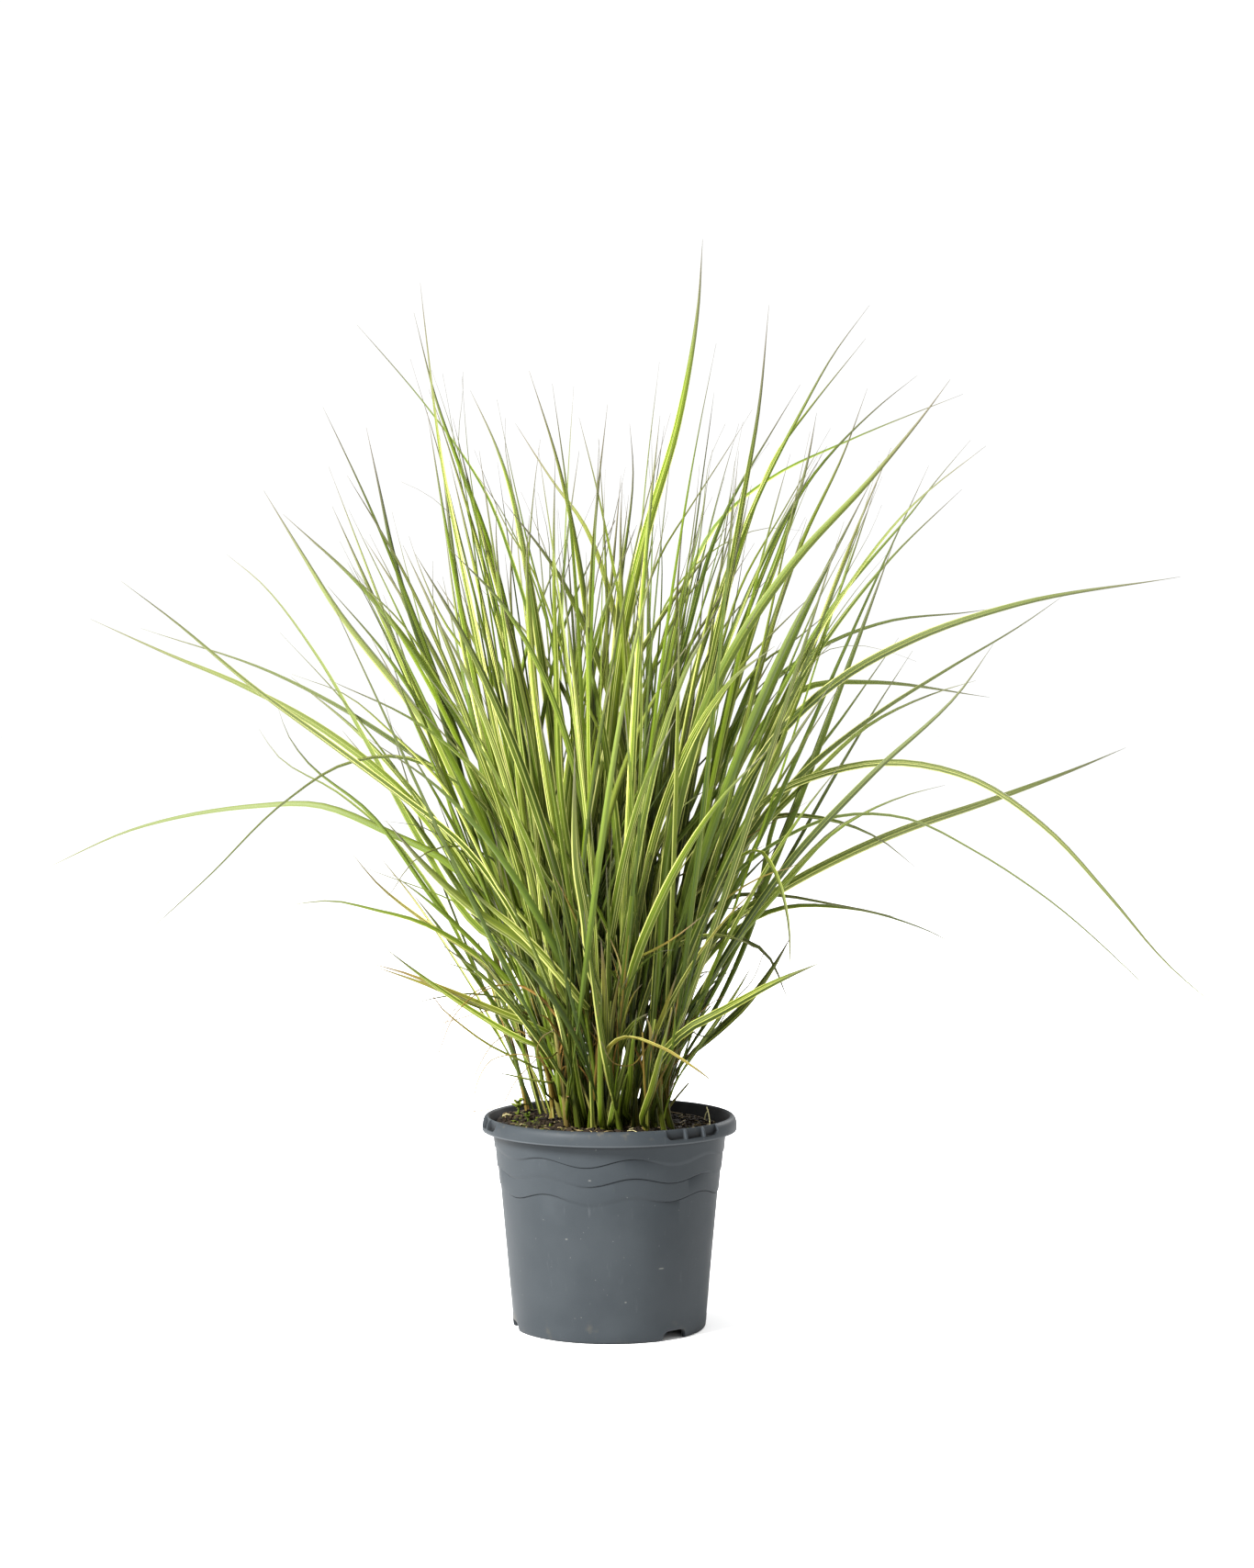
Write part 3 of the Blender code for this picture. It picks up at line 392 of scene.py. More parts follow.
class LeafSettings(bpy.types.PropertyGroup):
    green: colour_property("Green", "Fresh green of the blades", (0.083, 0.127, 0.003))
    deep_green: colour_property("Deep green", "Darker green of other blades", (0.0125, 0.026, 0.0018))
    pale_green: colour_property("Pale green", "Fine lengthwise lines", (0.17, 0.21, 0.015))
    cream: colour_property("Cream", "Margins and stripes", (0.6, 0.585, 0.2))
    tip: colour_property("Tip", "Grey purple of the drawn-out tips", (0.1, 0.083, 0.07))
    straw: colour_property("Straw", "Dry leaves and sheaths", (0.28, 0.16, 0.038))
    rust: colour_property("Rust", "Red brown of the sheaths low on the stems", (0.08, 0.026, 0.009))
    fill: bpy.props.FloatProperty(
        name="Fill", description="How many further blades grow on each shoot", default=1.0, min=0, max=2)
    thickness: bpy.props.FloatProperty(
        name="Thickness", description="Thickness of a blade at its midrib", default=0.35 * MM,
        min=0.1 * MM, max=1 * MM, unit="LENGTH", precision=5)
    shreds: bpy.props.IntProperty(
        name="Dry shreds", description="Dry sheath shreds and threads low in the clump", default=240,
        min=0, max=400)


class PotSettings(bpy.types.PropertyGroup):
    plastic: colour_property("Plastic", "Slate grey of the pot", (0.0185, 0.0221, 0.025))
    dust: colour_property("Dust", "Brownish dust near the foot", (0.07, 0.06, 0.04))
    wave: bpy.props.FloatProperty(
        name="Wave", description="Rise of the wavy ledges", default=2.6 * MM, min=0, max=5 * MM,
        unit="LENGTH", precision=5)
    sides: bpy.props.IntProperty(
        name="Sides", description="Sides of the turned wall", default=216, min=48, max=512)


class SoilSettings(bpy.types.PropertyGroup):
    peat: colour_property("Peat", "Moist peat", (0.006, 0.004, 0.0025))
    dry_peat: colour_property("Dry peat", "Drier lumps", (0.02, 0.013, 0.007))
    moss: colour_property("Moss", "Moss and algae", (0.06, 0.075, 0.006))
    pale: colour_property("Fibre", "Pale fibres and crumbs", (0.2, 0.15, 0.07))
    crumbs: bpy.props.IntProperty(
        name="Crumbs", description="Loose crumbs on the soil", default=2600, min=0, max=6000)
    fibres: bpy.props.IntProperty(
        name="Fibres", description="Bits of straw and root on the soil", default=180, min=0, max=1000)


class StageSettings(bpy.types.PropertyGroup):
    daylight: bpy.props.FloatProperty(
        name="Daylight", description="Strength of the white surroundings", default=1.05, min=0, max=5)
    key: bpy.props.FloatProperty(
        name="Key light", description="Power of the soft light at the upper left", default=640,
        min=0, max=2000, unit="POWER")
    back: bpy.props.FloatProperty(
        name="Back light", description="Power of the weaker light behind, at the right", default=100,
        min=0, max=2000, unit="POWER")
    floor: colour_property("Floor", "Pale floor", (0.95, 0.95, 0.95))


# Paths and directions

def compass(turn):
    """Level direction at that angle from +X."""
    return Vector((math.cos(turn), math.sin(turn), 0))


def drawn_lines(table):
    """Each line of a table: its two words, then its (column, row) spots."""
    for line in table.strip().split("\n"):
        first, second, *spots = line.split()
        yield first, second, [tuple(map(float, spot.split(","))) for spot in spots]


def smooth_path(points, segments=None):
    """The points cut at equal lengths from a smooth curve through the given ones."""
    span = [(b - a).length for a, b in zip(points, points[1:])]
    slopes = [(points[1] - points[0]) / span[0]]
    for i in range(1, len(points) - 1):
        before, after = (points[i] - points[i - 1]) / span[i - 1], (points[i + 1] - points[i]) / span[i]
        slopes.append((before * span[i] + after * span[i - 1]) / (span[i - 1] + span[i]))
    slopes.append((points[-1] - points[-2]) / span[-1])
    fine = []
    for i, length in enumerate(span):
        steps = max(4, round(length / (6 * MM)))
        for k in range(steps):
            t = k / steps
            fine.append(points[i] * (2 * t**3 - 3 * t**2 + 1) + points[i + 1] * (3 * t**2 - 2 * t**3)
                        + slopes[i] * (length * (t**3 - 2 * t**2 + t))
                        + slopes[i + 1] * (length * (t**3 - t**2)))
    fine.append(points[-1])
    rows = np.array(fine)
    along = np.concatenate([[0], np.cumsum(np.linalg.norm(np.diff(rows, axis=0), axis=1))])
    if not segments:
        segments = min(MOST_SEGMENTS, max(FEWEST_SEGMENTS, round(along[-1] / SEGMENT_LENGTH)))
    wanted = np.linspace(0, along[-1], segments + 1)
    return [Vector([np.interp(s, along, rows[:, axis]) for axis in range(3)]) for s in wanted]


def on_sheet(column, row, depth):
    """The point at that depth which the front view shows at that column and row."""
    flat = Vector(((column - SHEET_AXIS) * SHEET_STEP, 0, (SHEET_FLOOR - row) * SHEET_STEP))
    return EYE + (flat - EYE) * ((depth - EYE.y) / -EYE.y)


# The clump as numbers: the same stems and leaves as the solids, from the same seeds

def point_along(path, share):
    place = share * (len(path) - 1)
    i = min(int(place), len(path) - 2)
    return path[i].lerp(path[i + 1], place - i)


def leaf_half_width(width, share):
    """Narrow where it leaves the stem, widest at a third, then drawn out to a fine point."""
    opening = min(1, 0.35 + 0.65 * share / 0.12)
    taper = 1 if share < 0.35 else 1 - ((share - 0.35) / 0.65) ** 1.7
    return 0.5 * width * opening * taper


class Thicket:
    """Beads along every path laid so far, so that a new one can be kept clear of them."""

    def __init__(self):
        self.places = np.zeros((0, 3))
        self.reach = np.zeros(0)
        self.owner = np.zeros(0, int)

    @staticmethod
    def beads(path, half_widths):
        rows, reach = np.array(path), np.array(half_widths)
        along = np.concatenate([[0], np.cumsum(np.linalg.norm(np.diff(rows, axis=0), axis=1))])
        at = np.linspace(0, along[-1], max(2, int(along[-1] / BEAD) + 1))
        places = np.stack([np.interp(at, along, rows[:, axis]) for axis in range(3)], axis=1)
        return places, np.interp(at, along, reach)

    def gap(self, path, half_widths, owner):
        others = self.owner != owner
        if not others.any():
            return 1.0
        places, reach = self.beads(path, half_widths)
        theirs = self.places[others]
        square = ((places**2).sum(1)[:, None] + (theirs**2).sum(1)[None, :] - 2 * places @ theirs.T)
        apart = np.sqrt(np.maximum(square, 0)) - reach[:, None] - self.reach[others][None, :]
        return float(apart.min())

    def add(self, path, half_widths, owner):
        places, reach = self.beads(path, half_widths)
        self.places = np.concatenate([self.places, places])
        self.reach = np.concatenate([self.reach, reach])
        self.owner = np.concatenate([self.owner, np.full(len(places), owner)])


def half_widths_of(path, width):
    return [leaf_half_width(width, i / (len(path) - 1)) for i in range(len(path))]


def drawn_leaf(stem, share, drawn, depths):
    """Control points that leave the stem along its own line and follow the drawn path, at a depth that
    ends changed by the first of depths, grows by the power of the second, and starts with a detour
    of the third."""
    change, power, detour = depths
    start = point_along(stem, share)
    points = [point_along(stem, share - 0.12), start]
    for i, (column, row) in enumerate(drawn, start=1):
        part = i / len(drawn)
        depth = start.y + change * part**power + detour * math.sin(math.pi * min(1, 2 * part))
        points.append(on_sheet(column, row, depth))
    return points


def grown_leaf(stem, share, length, side, lean, droop):
    """Control points that leave the stem towards side (an angle round it), leaning and then bending over."""
    start = point_along(stem, share)
    below = point_along(stem, share - 0.12)
    along = (start - below).normalized()
    outward = compass(side)
    points = [below, start]
    steps = 5
    for i in range(steps):
        t = (i + 1) / steps
        tilt = lean * min(1, 2.5 * t) + droop * t**1.6
        heading = (along * math.cos(tilt) + outward * math.sin(tilt)).normalized()
        points.append(points[-1] + heading * (length / steps))
    return points


def stem_path(ground, above):
    """From inside the soil, straight up through it, then smoothly on through the given points."""
    rise = (above[0] - ground).normalized()
    return smooth_path([ground - rise * STEM_IN_SOIL, ground, *above], 3)


def stem_reach(path):
    return [STEM_RADIUS + (STEM_TIP_RADIUS - STEM_RADIUS) * i / (len(path) - 1) for i in range(len(path))]


def drawn_clump(thicket):
    """Shoots that give the clump its outline, each as (name, stem, [(width, points)])."""
    shoots = []
    dice = random.Random(SEED)
    stems = {}
    for owner, (name, (foot, stem_drawn, _)) in enumerate(DRAWN_SHOOTS.items()):
        ground = Vector((foot[0] * MM, foot[1] * MM, SOIL_TOP))
        fan = [on_sheet(column, row, ground.y * (1.15 + 0.25 * i))
               for i, (column, row) in enumerate(stem_drawn)]
        stems[name] = stem_path(ground, fan)
        thicket.add(stems[name], stem_reach(stems[name]), owner)
    for owner, (name, (_, _, leaves)) in enumerate(DRAWN_SHOOTS.items()):
        stem = stems[name]
        laid = []
        for share, width, drawn in leaves:
            best = None
            sideways = abs(drawn[-1][0] - SHEET_AXIS) * SHEET_STEP
            deepest = DEEPEST_LEAF - 0.2 * sideways
            for _ in range(TRIES):
                change = dice.uniform(-1, 1) * deepest
                detour = dice.uniform(-1, 1) * DETOUR
                points = drawn_leaf(stem, share, drawn, (change, dice.uniform(0.7, 1.9), detour))
                path = smooth_path(points)
                gap = thicket.gap(path, half_widths_of(path, width * MM), owner)
                if best is None or gap > best[0]:
                    best = (gap, path, points)
                if gap > CLEARANCE:
                    break
            _, path, points = best
            thicket.add(path, half_widths_of(path, width * MM), owner)
            laid.append((width * MM, points))
        shoots.append((name, stem, laid))
    return shoots


def grown_clump(thicket, feet):
    """Shoots that fill the clump on all sides, from feet on a spiral over the soil."""
    dice = random.Random(GROWN_SEED)
    shoots = []
    candidate = 0
    while len(shoots) < GROWN_SHOOTS:
        candidate += 1
        radius = CLUMP_RADIUS * math.sqrt((candidate % FEET_ON_SPIRAL + 0.5) / FEET_ON_SPIRAL)
        turn = candidate * GOLDEN_TURN + 0.3 * (candidate // FEET_ON_SPIRAL)
        foot = CLUMP_CENTRE + Vector((math.cos(turn), math.sin(turn))) * radius
        if any((foot - other).length < FOOT_SPACING for other in feet):
            continue
        ground = Vector((foot.x, foot.y, SOIL_TOP))
        lean = math.radians(3 + 17 * radius / CLUMP_RADIUS)
        made = grown_shoot(thicket, dice, ground, turn, lean, FIRST_GROWN + len(shoots))
        if made:
            feet.append(foot)
            shoots.append(made)
        if candidate > MOST_FEET_TRIED:
            raise RuntimeError("no room is left in the clump for another shoot")
    return shoots


def grown_shoot(thicket, dice, ground, turn, lean, owner):
    """One shoot from that foot as (no name, stem, leaves), or None where it finds no room."""
    for _ in range(TRIES // 3):
        facing = turn + dice.gauss(0, 0.3)
        tilt = lean * dice.uniform(0.7, 1.3)
        heading = Vector((math.cos(facing) * math.sin(tilt), math.sin(facing) * math.sin(tilt),
                          math.cos(tilt)))
        height = dice.uniform(85, 150) * MM
        stem = stem_path(ground, [ground + heading * height * 0.5, ground + heading * height])
        if thicket.gap(stem, stem_reach(stem), owner) > CLEARANCE:
            break
    else:
        return None
    laid = []
    side = facing + dice.uniform(-0.6, 0.6)
    for share in (1.0, 0.78, 0.56):
        for _ in range(TRIES // 2):
            width = dice.uniform(5.2, 8.0) * MM
            length = dice.uniform(300, 430) * MM * (0.75 + 0.25 * share)
            bend = math.radians(dice.uniform(2, 10) + 14 * (1 - share))
            droop = math.radians(dice.uniform(4, 34) + 22 * abs(math.sin(side)))
            towards = side + dice.uniform(-0.7, 0.7)
            points = grown_leaf(stem, share, length, towards, bend, droop)
            path = smooth_path(points)
            if thicket.gap(path, half_widths_of(path, width), owner) > CLEARANCE:
                laid.append((width, points, path))
                break
        side += math.pi
    if not laid:
        return None
    thicket.add(stem, stem_reach(stem), owner)
    for width, _, path in laid:
        thicket.add(path, half_widths_of(path, width), owner)
    return "", stem, [(width, points) for width, points, _ in laid]


@functools.cache
def clump():
    """Every shoot as (name, stem, [(width, points)]), the drawn ones first."""
    thicket = Thicket()
    shoots = drawn_clump(thicket)
    feet = [Vector((x * MM, y * MM)) for (x, y), _, _ in DRAWN_SHOOTS.values()]
    return shoots + grown_clump(thicket, feet)


# Blades: fine closed leaves, stems and threads gathered into one mesh

# Corners round a blade: how far across it each lies, and how deep under its upper face
BLADE_ACROSS = np.array([-1, -0.5, 0, 0.5, 1, 0.5, 0, -0.5])
BLADE_UNDER = np.array([0, 0, 0, 0, 0, 0.8, 1, 0.8])
ROUND = 8
# The corners at the margins and the midrib, whose lengthwise edges are sharp
KEEN_CORNERS = (0, 2, 4)
FEWEST_RINGS = 12
MOST_RINGS = 44
RING_EVERY = 13 * MM
THREAD_RINGS = 22
LEAST_HALF_WIDTH = 0.11 * MM
FOLD = 0.52
FOLD_AT_BASE = 1.15
# Blades narrower than this have no stripes, and those wider by the second have them in full
STRIPES_FROM = 2.2 * MM
STRIPES_OVER = 2.6 * MM
# Each strip's column in the unwrapping: where it starts and how wide and long it is, and where the
# spots of its two end faces lie, all as shares of its place
COLUMN_START, COLUMN_WIDTH = 0.04, 0.92
STRIP_START, STRIP_LENGTH = 0.01, 0.98
END_SPOTS = 0.004, 0.996


def steady_frames(path):
    """Tangents of a path of points, and directions across it that turn no more than it does."""
    ends = np.vstack([path[:1], path, path[-1:]])
    along = ends[2:] - ends[:-2]
    along /= np.linalg.norm(along, axis=1)[:, None]
    across = np.zeros_like(along)
    side = np.cross(along[0], (0, 1, 0))
    for i, direction in enumerate(along):
        side = side - direction * side.dot(direction)
        side = side / np.linalg.norm(side)
        across[i] = side
    return along, across


class Blades:
    """Closed strips of eight corners round, each with its place on its blade as attributes."""

    def __init__(self):
        self.rings = []
        self.marks = []
        self.kinds = []
        self.flat = []

    def add(self, rings, across, along, red, kind, flat=True):
        """rings: (n, 8, 3). kind: (number, share of stripes, dryness at base, dryness at tip)."""
        count = len(rings)
        number, stripes, dry_base, dry_tip = kind
        dry = dry_base + (dry_tip - dry_base) * along**2.6
        self.flat += [flat] * (count * ROUND)
        self.rings.append(rings)
        self.marks.append(np.stack([
            np.broadcast_to(across, (count, ROUND)),
            np.repeat(along[:, None], ROUND, 1),
            np.repeat(red[:, None], ROUND, 1)], axis=2))
        self.kinds.append(np.stack([
            np.full((count, ROUND), number),
            np.full((count, ROUND), stripes),
            np.repeat(dry[:, None], ROUND, 1)], axis=2))

    def leaf(self, points, width, roll, twist, kind, thickness, rings=None):
        """A blade folded along its midrib, which turns by roll at its base and twist more at its tip."""
        length = sum((b - a).length for a, b in zip(points, points[1:]))
        rings = rings or int(min(MOST_RINGS, max(FEWEST_RINGS, length / RING_EVERY)))
        path = np.array(smooth_path(points, rings))
        along, flat = steady_frames(path)
        share = np.linspace(0, 1, len(path))
        opening = np.minimum(1, 0.5 + 0.5 * share / 0.3)
        half = np.array([max(leaf_half_width(width, s ** 1.12), LEAST_HALF_WIDTH) for s in share])
        half = half * opening
        turn = roll + twist * share
        up = np.cross(along, flat)
        across = flat * np.cos(turn)[:, None] + up * np.sin(turn)[:, None]
        normal = np.cross(along, across)
        crease = FOLD + (FOLD_AT_BASE - FOLD) * np.exp(-share / 0.1)
        half = half / math.cos(0.7 * FOLD)
        side = BLADE_ACROSS[None, :, None] * (half * np.cos(crease))[:, None, None]
        lift = np.abs(BLADE_ACROSS)[None, :, None] ** 1.3 * (half * np.sin(crease))[:, None, None]
        under = BLADE_UNDER[None, :, None] * np.minimum(thickness, half * 0.7)[:, None, None]
        made = path[:, None, :] + across[:, None, :] * side + normal[:, None, :] * (under - lift)
        red = 0.5 * np.exp(-share / 0.02)
        fresh, stripes, *dry = kind
        wide = min(1, max(0, (width - STRIPES_FROM) / STRIPES_OVER))
        stripes *= wide
        fresh = min(fresh, 0.6 + 0.6 * wide)
        self.add(made, BLADE_ACROSS, share, red, (fresh, stripes, *dry))

    def thread(self, points, width, kind):
        """A round thread that thins out towards its tip."""
        path = smooth_path(points, THREAD_RINGS)
        share = np.linspace(0, 1, len(path))
        self.stem(path, width * (0.5 - 0.26 * share), kind, 0 * share, 0.3 + 0.7 * share)

    def stem(self, path, radii, kind, red, share=None):
        """A round strip along the path."""
        path = np.array(path)
        share = np.full(len(path), 0.3) if share is None else share
        along, flat = steady_frames(path)
        other = np.cross(along, flat)
        turns = 2 * np.pi * np.arange(ROUND) / ROUND
        circle = flat[:, None, :] * np.cos(turns)[None, :, None]
        circle = circle + other[:, None, :] * np.sin(turns)[None, :, None]
        made = path[:, None, :] + circle * np.array(radii)[:, None, None]
        self.add(made, 0.62 * np.sin(turns), share, red, kind, flat=False)

    def mesh(self, name):
        """One mesh of all strips. Each has its own column of the unwrapping, so it can be painted."""
        faces, spots = [], []
        start = 0
        for column, rings in enumerate(self.rings):
            count = len(rings)
            low = (column + COLUMN_START) / len(self.rings)
            wide = COLUMN_WIDTH / len(self.rings) / ROUND
            for i in range(count - 1):
                v0, v1 = (STRIP_START + STRIP_LENGTH * step / (count - 1) for step in (i, i + 1))
                for k in range(ROUND):
                    j = (k + 1) % ROUND
                    a, b = start + i * ROUND, start + (i + 1) * ROUND
                    faces.append((a + k, a + j, b + j, b + k))
                    u0, u1 = low + wide * k, low + wide * (k + 1)
                    spots.append(((u0, v0), (u1, v0), (u1, v1), (u0, v1)))
            last = start + (count - 1) * ROUND
            faces.append(tuple(range(start + ROUND - 1, start - 1, -1)))
            faces.append(tuple(range(last, last + ROUND)))
            spots += [((low, v),) * ROUND for v in END_SPOTS]
            start += count * ROUND
        mesh = bpy.data.meshes.new(name)
        mesh.from_pydata(np.concatenate([rings.reshape(-1, 3) for rings in self.rings]).tolist(), [], faces)
        flat_spots = [place for face in spots for spot in face for place in spot]
        mesh.uv_layers.new(name="OFBake").data.foreach_set("uv", np.array(flat_spots, np.float32))
        for label, rows in (("blade", self.marks), ("kind", self.kinds)):
            values = np.concatenate([row.reshape(-1, 3) for row in rows]).astype(np.float32)
            mesh.attributes.new(label, "FLOAT_VECTOR", "POINT").data.foreach_set("vector", values.ravel())
        smooth(mesh)
        mesh.update()
        ends = np.empty(len(mesh.edges) * 2, np.int32)
        mesh.edges.foreach_get("vertices", ends)
        ends = np.sort(ends.reshape(-1, 2), axis=1)
        keen = (ends[:, 1] - ends[:, 0] == ROUND) & np.isin(ends[:, 0] % ROUND, KEEN_CORNERS)
        keen &= np.array(self.flat)[ends[:, 0]]
        mesh.attributes.new("sharp_edge", "BOOLEAN", "EDGE").data.foreach_set("value", keen)
        return mesh


# Nodes

class Nodes:
    """Short names for the nodes that the materials are made of."""

    def __init__(self, name):
        self.material = bpy.data.materials.new(name)
        self.material.use_nodes = True
        self.tree = self.material.node_tree
        self.shader = self.tree.nodes["Principled BSDF"]
        self.output = self.tree.nodes["Material Output"]

    def link(self, source, target):
        if hasattr(source, "is_output"):
            self.tree.links.new(source, target)
        else:
            target.default_value = source

    def attribute(self, name):
        node = self.tree.nodes.new("ShaderNodeAttribute")
        node.attribute_name = name
        return self.split(node.outputs["Vector"])

    def split(self, vector):
        node = self.tree.nodes.new("ShaderNodeSeparateXYZ")
        self.tree.links.new(vector, node.inputs[0])
        return node.outputs

    def place(self):
        return self.tree.nodes.new("ShaderNodeTexCoord").outputs["Object"]

    def maths(self, operation, first, second=0.0, third=0.0, clamp=False):
        node = self.tree.nodes.new("ShaderNodeMath")
        node.operation = operation
        node.use_clamp = clamp
        for value, socket in zip((first, second, third), node.inputs):
            self.link(value, socket)
        return node.outputs[0]

    def times(self, first, second):
        return self.maths("MULTIPLY", first, second)

    def near(self, value, middle, full, none):
        """1 where the value is within full of the middle, falling to 0 at none from it."""
        away = self.maths("ABSOLUTE", self.maths("SUBTRACT", value, middle))
        return self.span(away, full, none, 1.0, 0.0)

    def vector(self, x, y, z):
        node = self.tree.nodes.new("ShaderNodeCombineXYZ")
        for value, socket in zip((x, y, z), node.inputs):
            self.link(value, socket)
        return node.outputs[0]

    def noise(self, vector, scale, detail=2.0, roughness=0.5):
        node = self.tree.nodes.new("ShaderNodeTexNoise")
        self.tree.links.new(vector, node.inputs["Vector"])
        node.inputs["Scale"].default_value = scale
        node.inputs["Detail"].default_value = detail
        node.inputs["Roughness"].default_value = roughness
        return node.outputs["Fac"]

    def span(self, value, low, high, start=0.0, end=1.0):
        """Goes smoothly from start, where the value is low, to end, where it is high."""
        node = self.tree.nodes.new("ShaderNodeMapRange")
        node.interpolation_type = "SMOOTHSTEP"
        for item, socket in zip((value, low, high, start, end), node.inputs):
            self.link(item, socket)
        return node.outputs[0]

    def mix(self, share, first, second, blend="MIX"):
        node = self.tree.nodes.new("ShaderNodeMix")
        node.data_type = "RGBA"
        node.blend_type = blend
        self.link(share, node.inputs[0])
        for value, socket in ((first, node.inputs[6]), (second, node.inputs[7])):
            self.link(value if hasattr(value, "is_output") else (*value, 1), socket)
        return node.outputs[2]

    def bump(self, height, strength, distance):
        node = self.tree.nodes.new("ShaderNodeBump")
        node.inputs["Strength"].default_value = strength
        node.inputs["Distance"].default_value = distance
        self.tree.links.new(height, node.inputs["Height"])
        self.tree.links.new(node.outputs[0], self.shader.inputs["Normal"])

    def finish(self, colour, roughness, specular):
        self.link(colour, self.shader.inputs["Base Color"])
        self.link(roughness, self.shader.inputs["Roughness"])
        self.shader.inputs["Specular IOR Level"].default_value = specular
        return self.material


# Colours that the materials mix in beside those of the settings
COOL_GREENS = (0.018, 0.037, 0.005), (0.068, 0.115, 0.012)
SAGE_GREENS = (0.04, 0.048, 0.012), (0.16, 0.18, 0.035)
GREENISH_CREAM = (0.33, 0.42, 0.04)
PALE_STRAW = (0.55, 0.45, 0.2)
# Painted shade: colours that darken the blades low in the clump and in its heart
PAINTED_LOW_SHADE = (0.28, 0.3, 0.1)
PAINTED_HEART_SHADE = (0.14, 0.15, 0.08)
OUTER_GREY = (0.12, 0.13, 0.06)
LEAF_GLOW = (0.3, 0.4, 0.02)
GLOW_SHARE = 0.2
CLOUD_GREY = (0.05, 0.056, 0.06)
STREAK_GREY = (0.09, 0.095, 0.1)
SPECK_GREY = (0.16, 0.16, 0.15)
SCUFF_GREY = (0.12, 0.12, 0.11)
# Painted highlight along the rim's lower edge
PAINTED_RIM_HIGHLIGHT = (0.06, 0.066, 0.07)
# Painted shadow under the rim's lip
PAINTED_LIP_SHADOW = (0.008, 0.009, 0.01)
# Painted shade inside the pot and at the back of its pockets
PAINTED_INSIDE_SHADE = (0.005, 0.0045, 0.004)
# Painted shade in the grooves under the ledges
PAINTED_CREASE_SHADE = (0.005, 0.006, 0.007)
WHITE_STRAW = (0.5, 0.46, 0.24)
FLOOR_GREY = (0.8, 0.8, 0.8)

# Scuffs on the front of the pot: how far right and how high they lie, and half their width, in mm
SCUFFS = ((38.0, 54.5, 2.4), (-31.0, 77.0, 1.2), (12.0, 31.0, 1.0), (-14.0, 121.5, 1.4))


